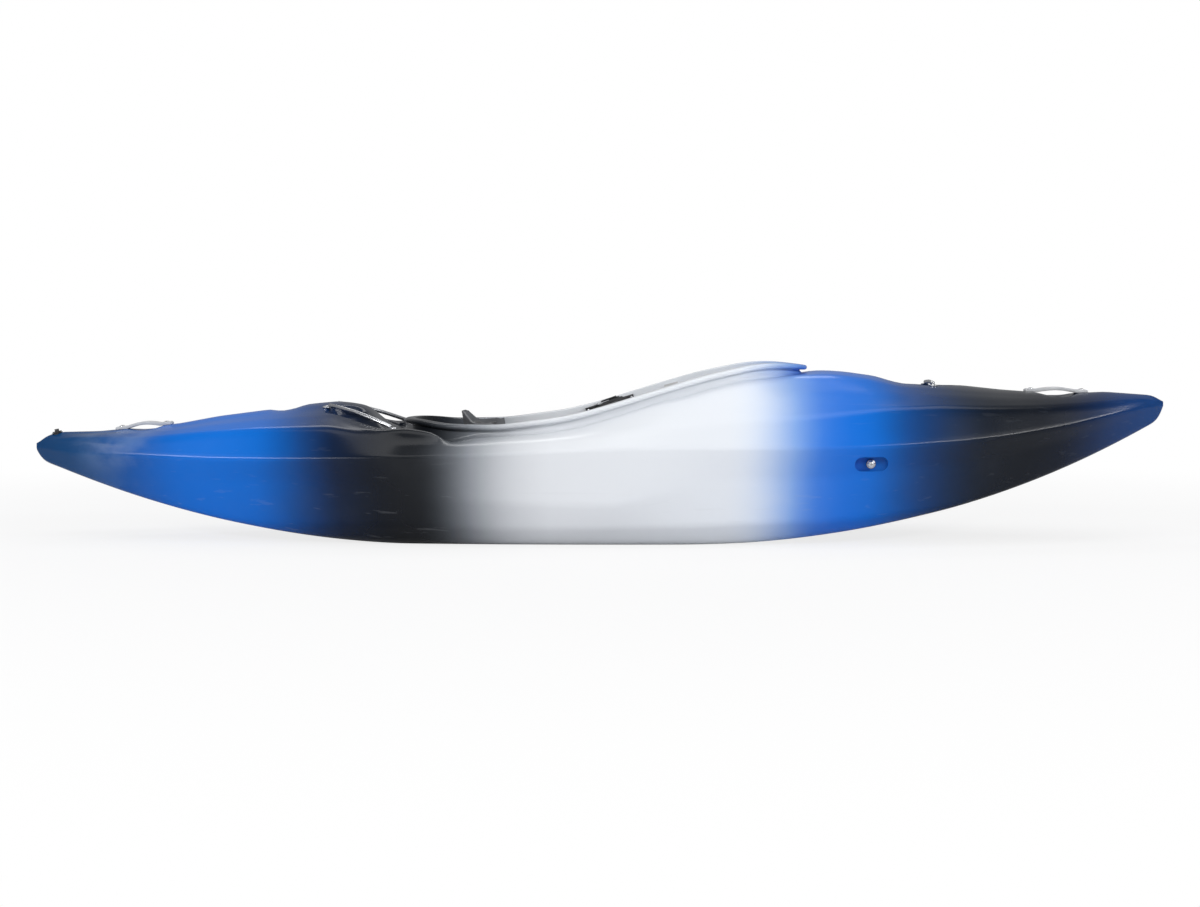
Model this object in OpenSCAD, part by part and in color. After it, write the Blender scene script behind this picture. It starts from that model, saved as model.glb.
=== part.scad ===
// Whitewater kayak: one rotationally moulded hull with its deck fittings, foam pillars and outfitting.
// +X is the bow, +Y is the port side (left), +Z is up.
// The origin lies on the ground, under the middle of the hull.

/* [Hull] */
// Overall length of the hull
hull_length = 2600; // [2400:10:3120]
// Beam over the ridge lines, the widest place
hull_beam = 660; // [600:5:800]
// Height of the cockpit rim at its peak
rim_peak = 402; // [380:1:485]
// Thickness of the moulded wall
wall_t = 6; // [5:0.5:7.5]

/* [Cockpit] */
// Length of the opening inside the rim
cockpit_length = 877; // [760:1:900]
// Width of the opening inside the rim
cockpit_width = 446; // [430:1:470]
// How far the rim's lip stands out from the opening's edge
rim_lip = 24; // [20:1:29]
// Thickness of the lip's edge
rim_edge = 12; // [9:0.5:14]

/* [Seat] */
// Length of the seat pan
seat_length = 350; // [290:1:380]
// Width of the seat pan over its hip walls
seat_width = 370; // [310:1:390]
// Height of the hip walls above the pan's underside
seat_height = 150; // [125:1:170]
// Thickness of the seat pan's plastic
seat_skin = 5; // [4:0.5:6]
// Height of the floor track that the seat slides on
track_height = 8; // [6:0.5:10]
// Travel of the seat each way from its middle place
seat_travel = 30; // [20:1:36]

/* [Backband] */
// Width of the backband over its wings, seen from the front
band_width = 340; // [290:1:360]
// Height of the backband at its middle
band_height = 118; // [98:1:130]
// Thickness of the backband's foam pad
band_pad = 14; // [10:1:17]

/* [Footbrace] */
// Width of the foot plate
plate_width = 376; // [330:1:384]
// Height of the foot plate
plate_height = 180; // [150:1:200]
// Length of the rails that the foot plate slides on
rail_length = 330; // [290:1:390]
// Radius of the domed bolt that holds each rail through the hull
side_bolt_r = 9.5; // [8:0.5:11.5]

/* [Deck fittings] */
// Radius of the security bars
bar_r = 4.5; // [3.5:0.5:5.5]
// Length of the bow grab handle over its feet
bow_handle_length = 141; // [120:1:150]
// Length of the stern grab handle over its feet
stern_handle_length = 127; // [106:1:140]
// Width of both grab handles
handle_width = 28; // [22:1:34]
// Radius of the drain plug's bung
plug_r = 7; // [6:0.5:8]

/* [Pillars] */
// Thickness of the foam pillars
pillar_t = 50; // [40:1:60]

/* [Hidden] */

// The hull's lines are drawn at a length of 2600, a beam of 660 and a rim 402 high,
// and stretch with the real sizes
sx = hull_length / 2600;
sy = hull_beam / 660;
sz = rim_peak / 402;
half_length = hull_length / 2;
slack = 0.3;
hole_gap = 0.4;

// Each line gives a height over the ground, or a share of the ridge's half beam,
// by its station along the hull
bottom_share = [[-1300, 0.55], [-1000, 0.6], [-800, 0.66], [-400, 0.7], [0, 0.71], [400, 0.72], [800, 0.68],
    [1100, 0.6], [1300, 0.55]];
bottom_rise = [[-1300, 3], [-800, 5], [-450, 0], [330, 0], [700, 5], [1300, 3]];
crease_share = [[-1300, 0.7], [-1000, 0.68], [-800, 0.72], [-500, 0.83], [0, 0.875], [420, 0.87], [650, 0.79],
    [800, 0.74], [1100, 0.68], [1300, 0.7]];
crease_rise = [[-1300, 4], [-1200, 10], [-820, 12], [-500, 45], [-200, 40], [150, 46], [300, 49], [420, 45],
    [570, 31], [650, 27], [780, 13], [1200, 10], [1300, 4]];
step_share = [[-1300, 0.95], [-1150, 0.93], [-1040, 0.87], [-800, 0.86], [-500, 0.9], [-200, 0.965],
    [100, 0.97], [250, 0.93], [500, 0.89], [700, 0.86], [1000, 0.82], [1150, 0.84], [1300, 0.95]];
step_height = [[-1300, 204], [-1200, 180], [-1043, 156], [-985, 142], [-880, 139], [-650, 140], [-536, 136],
    [-414, 116], [-300, 105], [-190, 98], [40, 94], [150, 124], [240, 148], [400, 150], [486, 149],
    [582, 158], [694, 169], [809, 180], [926, 199], [1047, 223], [1139, 249], [1230, 281], [1300, 301]];
ridge_height = [[-1300, 206], [-1220, 196], [-1140, 190], [-1040, 192], [-960, 190], [-876, 188], [-732, 189],
    [-596, 192], [-248, 205], [-31, 216], [77, 219], [348, 218], [583, 218], [691, 222], [805, 228],
    [923, 240], [1044, 258], [1150, 278], [1240, 296], [1300, 303]];
seam_share = [[-1300, 0.88], [-600, 0.86], [-400, 0.87], [-300, 0.9], [200, 0.9], [420, 0.87], [1300, 0.86]];
seam_height = [[-1300, 208], [-1270, 220], [-1194, 230], [-1044, 230], [-881, 247], [-765, 256], [-594, 261],
    [-482, 241], [-439, 229], [-397, 227], [-280, 226], [-43, 240], [28, 250], [133, 262], [245, 270],
    [417, 281], [499, 285], [554, 291], [640, 301], [753, 305], [869, 302], [988, 303], [1110, 308],
    [1191, 314], [1250, 317], [1285, 312], [1300, 305]];
deck_edge_y = [[-1300, 2], [-1200, 18], [-1000, 45], [-700, 82], [-520, 100], [-424, 120], [-345, 195],
    [-230, 225], [50, 225], [240, 190], [400, 130], [453, 112], [600, 104], [800, 85], [1000, 60],
    [1200, 28], [1300, 2]];
deck_edge_height = [[-1300, 210], [-1277, 227], [-1247, 236], [-1154, 238], [-969, 253], [-877, 268],
    [-753, 283], [-676, 291], [-600, 298], [-560, 295], [-521, 280], [-490, 256], [-448, 238], [-400, 222],
    [-375, 219], [-336, 222], [-280, 237], [-219, 241], [-129, 247], [-43, 262], [28, 284], [133, 319],
    [187, 330], [245, 348], [325, 366], [421, 373], [480, 374], [528, 374], [602, 366], [680, 348],
    [778, 344], [926, 331], [1046, 327], [1164, 328], [1250, 325], [1285, 317], [1300, 307]];
deck_height = [[-1300, 212], [-1277, 231], [-1247, 240], [-1154, 242], [-969, 260], [-877, 277], [-753, 293],
    [-743, 287], [-703, 294], [-676, 304], [-637, 308], [-601, 311], [-570, 308], [-540, 303], [-521, 292],
    [-499, 264], [-473, 252], [-448, 243], [-400, 226], [-336, 226], [-280, 239], [-219, 243], [-129, 249],
    [-43, 264], [28, 286], [133, 321], [187, 332], [245, 350], [325, 368], [421, 375], [466, 377],
    [490, 382], [528, 382], [567, 379], [602, 374], [632, 370], [678, 356], [705, 352], [778, 352],
    [833, 348], [926, 338], [981, 334], [1121, 331], [1164, 333], [1274, 325], [1296, 313], [1300, 308]];
rim_height = [[-448, 276], [-387, 274], [-359, 269], [-330, 266], [-219, 266], [-85, 284], [-25, 298],
    [49, 320], [118, 342], [231, 376], [330, 398], [370, 402], [397, 402], [449, 397], [477, 392]];
// Raised shoulders beside the rear of the rim: how far in from the seam, their height, and where they act
shoulder_inset = 18;
shoulder_height = [[-560, 262], [-486, 257], [-425, 263], [-380, 257], [-350, 249], [-325, 238]];
shoulder_weight = [[-600, 0], [-520, 1], [-360, 1], [-322, 0]];
corner_r = [0, 22, 12, 12, 9, 14, 16, 16];

function at(line, x, blend = 25) =
    let (u = x / sx) (lookup(u - blend, line) + 2 * lookup(u, line) + lookup(u + blend, line)) / 4;

widest_x = -20 * sx;
function ridge_y(x) =
    let (fore = x > widest_x,
        t = fore ? (x - widest_x) / (half_length - widest_x) : (widest_x - x) / (half_length + widest_x))
    max(3, hull_beam / 2 * pow(max(0, 1 - pow(t, fore ? 2.3 : 2)), fore ? 0.85 : 0.9));

function keel_z(x) =
    let (u = x / sx)
    sz * (u > 150 ? 272 * pow((u - 150) / 1150, 2.27) + 26 * pow(max(0, (u - 1260) / 40), 4)
        : u < -415 ? 179 * pow((-415 - u) / 885, 2) + 20 * pow(max(0, (-u - 1265) / 35), 3) : 0);

// The cockpit opening is an egg: a superellipse with a longer fore half
cockpit_x = -60 * sx;
cockpit_fore = cockpit_length * 0.585;
cockpit_aft = cockpit_length - cockpit_fore;
cockpit_power = 2.3;
function signed_power(v, p) = sign(v) * pow(abs(v), p);
function opening_point(angle, out) =
    let (c = signed_power(cos(angle), 2 / cockpit_power), s = signed_power(sin(angle), 2 / cockpit_power))
    [cockpit_x + (c > 0 ? cockpit_fore + out : cockpit_aft + out) * c, (cockpit_width / 2 + out) * s];
function opening_y(x) =
    let (t = abs(x - cockpit_x) / (x > cockpit_x ? cockpit_fore : cockpit_aft))
    t >= 1 ? 0 : cockpit_width / 2 * pow(1 - pow(t, cockpit_power), 1 / cockpit_power);
function rim_z(x) = sz * at(rim_height, x);
function deck_z(x) = sz * at(deck_height, x, 10);
function deck_edge_z(x) = sz * at(deck_edge_height, x, 15);

// Corners of half a cross-section, from the keel up to the middle of the deck
function section_keys(x) =
    let (yr = ridge_y(x), zk = keel_z(x),
        seam = [yr * at(seam_share, x), sz * at(seam_height, x)],
        edge = [min(seam[0] * 0.86, max(sy * at(deck_edge_y, x), opening_y(x) + wall_t + 4)), deck_edge_z(x)],
        plain = (seam + edge) / 2 + [0, 0.03 * (seam[0] - edge[0])],
        w = at(shoulder_weight, x, 8),
        top = deck_z(x))
    [[0, zk],
        [yr * at(bottom_share, x), zk + sz * at(bottom_rise, x)],
        [yr * at(crease_share, x), zk + sz * at(crease_rise, x)],
        [yr * at(step_share, x), sz * at(step_height, x)],
        [yr, sz * at(ridge_height, x)],
        seam,
        plain * (1 - w) + [seam[0] - shoulder_inset, sz * at(shoulder_height, x, 8)] * w,
        edge,
        [edge[0] / 2, edge[1] + (top - edge[1]) * 0.78],
        [0, top]];

function rounded(a, b, c, r) =
    let (p = b + (a - b) * min(0.42, r / max(norm(a - b), 0.01)),
        q = b + (c - b) * min(0.42, r / max(norm(c - b), 0.01)))
    [p, (p + 2 * b + q) / 4, q];

function outer_half(x) =
    let (k = section_keys(x))
    concat([k[0]], [for (i = [1:7]) each rounded(k[i - 1], k[i], k[i + 1], corner_r[i])], [k[8], k[9]]);

function inward(a, b) = let (d = b - a) [-d[1], d[0]] / max(norm(d), 0.01);
function moved_in(a, b, c, t) =
    let (m = inward(a, b), n = inward(b, c), s = m + n, k = t / max(0.5, 1 + m * n), p = b + s * k)
    [max(0.5, p[0]), p[1]];
function inner_half(x) =
    let (k = section_keys(x), last = len(k) - 1)
    concat([k[0] + [0, wall_t]],
        [for (i = [1:last - 1]) moved_in(k[i - 1], k[i], k[i + 1], wall_t)],
        [k[last] - [0, wall_t]]);

function full_ring(x, half) =
    concat([for (p = half) [x, p[0], p[1]]],
        [for (i = [len(half) - 2:-1:1]) [x, -half[i][0], half[i][1]]]);

module loft(rings) {
    n = len(rings[0]);
    last = len(rings) - 1;
    polyhedron([for (r = rings) each r],
        concat([[for (j = [0:n - 1]) j]],
            [[for (j = [n - 1:-1:0]) last * n + j]],
            [for (i = [0:last - 1], j = [0:n - 1])
                let (a = i * n + j, b = a + n, c = (i + 1) * n + (j + 1) % n, d = i * n + (j + 1) % n)
                each (j < n / 2 ? [[a, b, c], [a, c, d]] : [[a, b, d], [b, c, d]])]));
}

stern_stations = [-1300, -1296, -1288, -1278, -1266, -1238, -1210];
bow_stations = [1210, 1240, 1262, 1277, 1288, 1296, 1300];
outer_stations = [each stern_stations, for (u = [-1170:60:-630]) u, for (u = [-600:25:-325]) u,
    for (u = [-280:60:1160]) u, each bow_stations];
inner_stations = [-1268, -1240, for (u = [-1170:120:-690]) u, for (u = [-600:50:-300]) u,
    for (u = [-220:120:1100]) u, 1180, 1240, 1272];

// A ring with a riser on the deck and a lip that stands out over it
rim_steps = 64;
module cockpit_rim() {
    points = [for (i = [0:rim_steps - 1])
        let (angle = i * 360 / rim_steps,
            x = opening_point(angle, 0)[0],
            top = rim_z(x),
            foot = deck_edge_z(x) - wall_t)
        for (p = [[-2, foot], [wall_t, foot], [wall_t, top - rim_edge], [rim_lip - 3, top - rim_edge],
                [rim_lip, top - rim_edge / 2], [rim_lip - 3, top - 1], [wall_t + 2, top], [-2, top - 1]])
        let (xy = opening_point(angle, p[0])) [xy[0], xy[1], p[1]]];
    n = 8;
    polyhedron(points, [for (i = [0:rim_steps - 1], j = [0:n - 1])
        let (a = i * n + j, b = ((i + 1) % rim_steps) * n + j,
            c = ((i + 1) % rim_steps) * n + (j + 1) % n, d = i * n + (j + 1) % n)
        each [[a, c, b], [a, d, c]]]);
}

// Height of the deck over the point (x, y), first on one station's section and then between two stations
function section_z(x, y) =
    let (k = section_keys(x), e = k[7], h = k[6], a = abs(y))
    a < e[0] ? (a < e[0] / 2 ? k[9][1] + (k[8][1] - k[9][1]) * a / (e[0] / 2)
            : k[8][1] + (e[1] - k[8][1]) * (a - e[0] / 2) / (e[0] / 2))
        : e[1] + (h[1] - e[1]) * (a - e[0]) / (h[0] - e[0]);
function surface_z(x, y = 0) =
    let (a = sx * max([for (u = outer_stations) if (u * sx <= x) u]),
        b = sx * min([for (u = outer_stations) if (u * sx > x) u]),
        t = (x - a) / (b - a))
    section_z(a, y) * (1 - t) + section_z(b, y) * t;

// Stands its children on the deck, square to the slope there
module on_deck(x, y = 0, reach = 8) {
    across = surface_z(x, y + reach) - surface_z(x, y - reach);
    along = surface_z(x + reach, y) - surface_z(x - reach, y);
    translate([x, y, surface_z(x, y)])
        rotate([atan2(across, 2 * reach), -atan2(along, 2 * reach), 0]) children();
}

module opening_prism(low, high) {
    translate([0, 0, low])
        linear_extrude(high - low)
            polygon([for (i = [0:rim_steps - 1]) opening_point((i + 0.5) * 360 / rim_steps, 0)]);
}

module both_sides() {
    children();
    mirror([0, 1, 0]) children();
}

// Places and sizes of the hollows in the deck and flanks
rear_well = [[-566 * sx, 104 * sy, 292 * sz], [-492 * sx, 148 * sy, 268 * sz]];
rear_well_r = [[50, 42, 38], [40, 36, 30]];
front_well_x = 760 * sx;
front_well_r = [56, 46, 30];
bow_scoop_x = 1052 * sx;
stern_scoop_x = -1050 * sx;
foot_len = 26;
bow_scoop_r = [bow_handle_length / 2 - foot_len, 92, 14];
stern_scoop_r = [stern_handle_length / 2 - foot_len, 70, 9];
side_bolt_x = 596 * sx;
side_bolt_z = 181 * sz;
function flank_y(x, z) =
    let (k = section_keys(x)) k[3][0] + (k[4][0] - k[3][0]) * (z - k[3][1]) / (k[4][1] - k[3][1]);
side_face_y = flank_y(side_bolt_x, side_bolt_z) - 10;
side_slot = [75, 32];

module ellipsoid(place, radii, grow) {
    translate(place) scale(radii + [grow, grow, grow]) sphere(1, $fn = grow > 0 ? 14 : 26);
}

// Every moulded hollow, grown by the wall when it is taken out of the cavity
module hollows(grow) {
    both_sides() {
        hull() for (i = [0, 1]) ellipsoid(rear_well[i], rear_well_r[i], grow);
        hull()
            for (s = [-1, 1])
                translate([side_bolt_x + s * (side_slot[0] - side_slot[1]) / 2, side_face_y - grow,
                        side_bolt_z + s])
                    rotate([-90, 0, 0]) cylinder(r = side_slot[1] / 2 + grow, h = 60,
                        $fn = grow > 0 ? 14 : 28);
    }
    ellipsoid([front_well_x, 0, deck_z(front_well_x)], front_well_r, grow);
    ellipsoid([bow_scoop_x, 0, deck_z(bow_scoop_x) + 1], bow_scoop_r, grow);
    ellipsoid([stern_scoop_x, 0, deck_z(stern_scoop_x) + 1], stern_scoop_r, grow);
}

// Places of what is bolted through the hull: [place, screw radius], with the screw upright
handle_inset = 12;
bow_feet = [bow_scoop_x - bow_handle_length / 2, bow_scoop_x + bow_handle_length / 2];
stern_feet = [stern_scoop_x - stern_handle_length / 2, stern_scoop_x + stern_handle_length / 2];
handle_bolt_xs = [bow_feet[0] + handle_inset, bow_feet[1] - handle_inset,
    stern_feet[0] + handle_inset, stern_feet[1] - handle_inset];
handle_bolt_r = 3;
side_stud_r = 3;
plug_x = -1252 * sx;
plug_seat_r = plug_r + 3;
plug_flange = 2.5;
plug_boss = 9;

module hull_holes() {
    for (x = handle_bolt_xs)
        on_deck(x) translate([0, 0, -40]) cylinder(r = handle_bolt_r + hole_gap, h = 80, $fn = 24);
    both_sides()
        translate([side_bolt_x, side_face_y - 20, side_bolt_z])
            rotate([-90, 0, 0]) cylinder(r = side_stud_r + hole_gap, h = 60, $fn = 24);
    on_deck(plug_x) translate([0, 0, -30]) cylinder(r = plug_seat_r + hole_gap, h = 60, $fn = 32);
}

module hull_shell() {
    color([0.05, 0.4, 0.8])
        resize([0, 0, 0])
            difference() {
                union() {
                    difference() {
                        loft([for (u = outer_stations) full_ring(u * sx, outer_half(u * sx))]);
                        hollows(0);
                    }
                    cockpit_rim();
                    on_deck(plug_x)
                        translate([0, 0, -plug_boss])
                            cylinder(r = plug_seat_r + plug_flange, h = plug_boss, $fn = 32);
                }
                difference() {
                    loft([for (u = inner_stations) full_ring(u * sx, inner_half(u * sx))]);
                    hollows(wall_t);
                }
                opening_prism(180 * sz, rim_peak + 60);
                hull_holes();
            }
}

// Drain plug at the stern: a flanged bush on a flat boss of the deck, and a rubber bung with a pull tab
seat_rise = 1.8;
module drain_plug_seat() {
    color([0.1, 0.1, 0.11])
        on_deck(plug_x)
            difference() {
                union() {
                    translate([0, 0, -wall_t - 5])
                        cylinder(r = plug_seat_r, h = wall_t + 5 + seat_rise, $fn = 48);
                    translate([0, 0, slack])
                        cylinder(r = plug_seat_r + plug_flange, h = seat_rise - slack, $fn = 48);
                }
                translate([0, 0, -wall_t - 6]) cylinder(r = plug_r + 0.06, h = wall_t + 10, $fn = 48);
            }
}

plug_head = 2.5;
plug_tab = [7, 14, 6];
module drain_plug() {
    color([0.08, 0.08, 0.09])
        on_deck(plug_x) {
            translate([0, 0, -wall_t - 4]) cylinder(r = plug_r, h = wall_t + 4.5 + seat_rise, $fn = 48);
            translate([0, 0, seat_rise + slack]) cylinder(r = plug_r + 3.5, h = plug_head, $fn = 48);
            translate([-plug_tab[0] / 2, -plug_tab[1] / 2, seat_rise + plug_head - 0.5]) cube(plug_tab);
        }
}

// A grab handle is an arched strap of plastic with a flat foot at each end
handle_t = 5;
module grab_handle(feet, rise) {
    a = feet[0] + foot_len;
    b = feet[1] - foot_len;
    steps = 14;
    under = [for (i = [0:steps])
        let (t = i / steps, z = surface_z(a) * (1 - t) + surface_z(b) * t)
        [a + (b - a) * t, z + slack + rise * sin(180 * t)]];
    ends = [for (x = feet) [x, surface_z(x) + slack]];
    difference() {
        rotate([90, 0, 0])
            linear_extrude(handle_width, center = true)
                polygon(concat([ends[0]], under, [ends[1], ends[1] + [0, handle_t - 2],
                    ends[1] + [-3, handle_t]],
                    [for (i = [steps:-1:0]) under[i] + [0, handle_t]],
                    [ends[0] + [3, handle_t], ends[0] + [0, handle_t - 2]]));
        for (x = [feet[0] + handle_inset, feet[1] - handle_inset])
            on_deck(x) translate([0, 0, -20]) cylinder(r = handle_bolt_r + 0.2, h = 40, $fn = 32);
    }
}
module bow_grab_handle() { color([0.72, 0.74, 0.75]) grab_handle(bow_feet, 5); }
module stern_grab_handle() { color([0.72, 0.74, 0.75]) grab_handle(stern_feet, 6); }

washer_t = 1.4;
module grab_handle_bolts() {
    color([0.75, 0.76, 0.78])
        for (x = handle_bolt_xs)
            on_deck(x) {
                translate([0, 0, -wall_t - 12])
                    cylinder(r = handle_bolt_r, h = wall_t + 13 + handle_t, $fn = 32);
                translate([0, 0, handle_t + 3 * slack])
                    rotate_extrude($fn = 40) polygon([[0, 0], [6, 0], [5.4, 1.6], [3.6, 2.8], [0, 3.3]]);
                translate([0, 0, -wall_t - 7]) cylinder(r = 5.2, h = 4, $fn = 6);
                translate([0, 0, -wall_t - 2 - washer_t]) cylinder(r = 6.5, h = washer_t, $fn = 32);
            }
}

// A security bar is an arched round bar, with a flat foot at each end that is screwed to the deck
bar_rings = 12;
bar_sides = 16;
module arched_bar(from, to, rise, r) {
    shares = [for (i = [0:bar_rings]) i / bar_rings];
    middle = [for (t = shares) from * (1 - t) + to * t + [0, 0, rise * sin(180 * t)]];
    ways = [for (t = shares) to - from + [0, 0, rise * 3.14 * cos(180 * t)]];
    start = middle[0] - ways[0] / norm(ways[0]) * r * 0.6;
    end = middle[bar_rings] + ways[bar_rings] / norm(ways[bar_rings]) * r * 0.6;
    loft([ring(start, ways[0], r * 0.55),
        for (i = [0:bar_rings]) ring(middle[i], ways[i], r),
        ring(end, ways[bar_rings], r * 0.55)]);
}
function ring(place, way, r) =
    let (d = way / norm(way), u = [-d[1], d[0], 0] / norm([d[0], d[1]]), v = cross(d, u))
    [for (k = [0:bar_sides - 1]) let (a = k * 360 / bar_sides - 90) place + r * (cos(a) * u + sin(a) * v)];

bar_foot = [9, 2.5];
screw_gap = 10;
module bar_foot(place, turn) {
    on_deck(place[0], place[1])
        translate([0, 0, slack])
            rotate([0, 0, turn])
                difference() {
                    union() {
                        cylinder(r = bar_foot[0], h = bar_foot[1], $fn = 48);
                        translate([0, -bar_r - 1, 0]) cube([screw_gap + 4, 2 * bar_r + 2, bar_foot[1]]);
                    }
                    translate([0, 0, -1]) cylinder(r = 2.7, h = bar_foot[1] + 2, $fn = 32);
                }
}
// The bar from foot to foot, with its middle raised
module security_bar(ends, rise) {
    d = ends[1] - ends[0];
    turn = atan2(d[1], d[0]);
    step = d / norm(d) * screw_gap;
    seat = slack + bar_foot[1] + bar_r - 1.2;
    tips = [for (p = [ends[0] + step, ends[1] - step]) [p[0], p[1], surface_z(p[0], p[1]) + seat]];
    color([0.62, 0.64, 0.67]) {
        arched_bar(tips[0], tips[1], rise, bar_r);
        bar_foot(ends[0], turn);
        bar_foot(ends[1], turn + 180);
    }
}
rear_bar_ends = [[-620 * sx, 76 * sy], [-456 * sx, 200 * sy]];
front_bar_ends = [[front_well_x, -front_well_r[1] - 21], [front_well_x, front_well_r[1] + 21]];
module rear_security_bar_left() { security_bar(rear_bar_ends, 5); }
module rear_security_bar_right() { mirror([0, 1, 0]) security_bar(rear_bar_ends, 5); }
module front_security_bar() { security_bar(front_bar_ends, 2); }

module security_bar_screws() {
    color([0.78, 0.79, 0.8]) {
        both_sides()
            for (p = rear_bar_ends) bar_screw(p);
        for (p = front_bar_ends) bar_screw(p);
    }
}
module bar_screw(place) {
    on_deck(place[0], place[1]) translate([0, 0, slack]) {
        translate([0, 0, bar_foot[1] + 0.1])
            rotate_extrude($fn = 40) polygon([[0, 0], [4.6, 0], [4.2, 1.2], [2.6, 2.2], [0, 2.6]]);
        translate([0, 0, 0.1]) cylinder(r = 2.5, h = bar_foot[1] + 1, $fn = 32);
    }
}

// Foam pillars: upright slabs that hold the deck off the bottom, cut to the hull's inside
pillar_gap = 3;
function scooped(x, centre, radii) =
    let (t = abs(x - centre) / (radii[0] + wall_t + 3))
    t >= 1 ? 1000 : deck_z(centre) + 1 - (radii[2] + wall_t) * sqrt(1 - t * t);
function pillar_top(x) =
    min(min(surface_z(x, pillar_t / 2), surface_z(x, 0)) - wall_t,
        scooped(x, bow_scoop_x, bow_scoop_r), scooped(x, stern_scoop_x, stern_scoop_r)) - pillar_gap;
function pillar_foot(x) =
    max(keel_z(x), keel_z(x) + sz * at(bottom_rise, x) * pillar_t / 2 / section_keys(x)[1][0]) + wall_t + 1.2;
module pillar(from, to) {
    steps = 26;
    xs = [for (i = [0:steps]) from + (to - from) * i / steps];
    rotate([90, 0, 0])
        linear_extrude(pillar_t, center = true)
            difference() {
                polygon(concat([for (x = xs) [x, pillar_foot(x)]],
                    [for (i = [steps:-1:0]) [xs[i], pillar_top(xs[i])]]));
                for (x = handle_bolt_xs) translate([x, surface_z(x) - 22]) square([18, 44], center = true);
            }
}
module bow_foam_pillar() { color([0.16, 0.16, 0.17]) pillar(830 * sx, 1165 * sx); }
module stern_foam_pillar() { color([0.16, 0.16, 0.17]) pillar(-1130 * sx, -640 * sx); }

// Footbrace: a rail on each side, held by one domed bolt through the moulded slot in the flank
rail_t = 8;
rail_h = 26;
sleeve_wall = 4;
sleeve_play = 5;
rail_y = plate_width / 2 + sleeve_wall + sleeve_play - 2;
rail_fore = rail_length * 0.38;
spacer_r = 9;
module footbrace_rail() {
    color([0.7, 0.72, 0.74])
        difference() {
            union() {
                translate([side_bolt_x + rail_fore - rail_length, rail_y, side_bolt_z - rail_h / 2])
                    cube([rail_length, rail_t, rail_h]);
                translate([side_bolt_x, rail_y + rail_t - 1, side_bolt_z])
                    rotate([-90, 0, 0])
                        cylinder(r = spacer_r,
                            h = side_face_y - wall_t - slack - rail_y - rail_t + 1, $fn = 48);
            }
            translate([side_bolt_x, rail_y - 1, side_bolt_z])
                rotate([-90, 0, 0]) cylinder(r = side_stud_r + 0.2, h = 200, $fn = 32);
            for (x = [rail_fore - 18:-20:rail_fore - rail_length + 10])
                if (abs(x) > 14)
                    translate([side_bolt_x + x, rail_y - 1, side_bolt_z + rail_h / 2 - 4])
                        rotate([-90, 0, 0]) cylinder(r = 2.2, h = rail_t + 2, $fn = 20);
        }
}
module footbrace_rail_left() { footbrace_rail(); }
module footbrace_rail_right() { mirror([0, 1, 0]) footbrace_rail(); }

seal_t = 1.5;
module footbrace_bolts() {
    color([0.8, 0.81, 0.83])
        both_sides()
            translate([side_bolt_x, side_face_y + seal_t, side_bolt_z])
                rotate([-90, 0, 0]) {
                    rotate_extrude($fn = 48)
                        polygon([[0, 0], [side_bolt_r, 0], [side_bolt_r, 1.2], [side_bolt_r - 1.5, 1.6],
                            [side_bolt_r - 3, 3.6], [side_bolt_r - 5.5, 4.6], [2.2, 4.9],
                                [2, 2.6], [0, 2.6]]);
                    translate([0, 0, -side_face_y + rail_y - 4 - seal_t])
                        cylinder(r = side_stud_r, h = side_face_y - rail_y + 4 + seal_t, $fn = 32);
                    translate([0, 0, -side_face_y + rail_y - 3.6 - seal_t])
                        cylinder(r = 5, h = 3.5, $fn = 6);
                }
}
module footbrace_bolt_seals() {
    color([0.07, 0.07, 0.07])
        both_sides()
            translate([side_bolt_x, side_face_y, side_bolt_z])
                rotate([-90, 0, 0])
                    difference() {
                        cylinder(r = side_bolt_r + 1, h = seal_t, $fn = 48);
                        translate([0, 0, -1]) cylinder(r = side_stud_r + 0.2, h = 4, $fn = 32);
                    }
}

// Foot plate: a ribbed bulkhead with a sleeve on each rail
plate_x = side_bolt_x - 60;
plate_t = 10;
plate_mid_z = side_bolt_z - 24;
sleeve_len = 54;
sleeve_in = rail_y - sleeve_play;
module foot_plate() {
    color([0.13, 0.13, 0.14])
        difference() {
            union() {
                translate([plate_x, 0, plate_mid_z])
                    rotate([90, 0, 90])
                        linear_extrude(plate_t)
                            hull()
                                for (s = [-1, 1], t = [-1, 1])
                                    translate([s * (plate_width / 2 - 30), t * (plate_height / 2 - 30)])
                                        circle(r = 30, $fn = 48);
                for (y = [-110:55:110])
                    translate([plate_x + plate_t, y - 3, plate_mid_z - plate_height / 2 + 20])
                        cube([12, 6, plate_height - 40]);
                both_sides()
                    translate([plate_x, sleeve_in - sleeve_wall,
                        side_bolt_z - rail_h / 2 - slack - sleeve_wall])
                        cube([sleeve_len, rail_t + 10, rail_h + 2 * (slack + sleeve_wall)]);
                both_sides()
                    for (y = [0, rail_t + 10 - ear_t])
                        translate([lock_x - 5, lock_y + y, sleeve_top - 1]) cube([10, ear_t, 11]);
            }
            both_sides()
                translate([plate_x - 1, sleeve_in, side_bolt_z - rail_h / 2 - slack])
                    cube([sleeve_len + 2, 40, rail_h + 2 * slack]);
            both_sides() {
                translate([lock_x - 9, lock_y + ear_t, sleeve_top - sleeve_wall - 1])
                    cube([13, rail_t + 10 - 2 * ear_t, sleeve_wall + 2]);
                translate([lock_x, lock_y - 1, lock_z])
                    rotate([-90, 0, 0]) cylinder(r = lock_pin_r + 0.05, h = rail_t + 12, $fn = 36);
            }
        }
}

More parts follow.
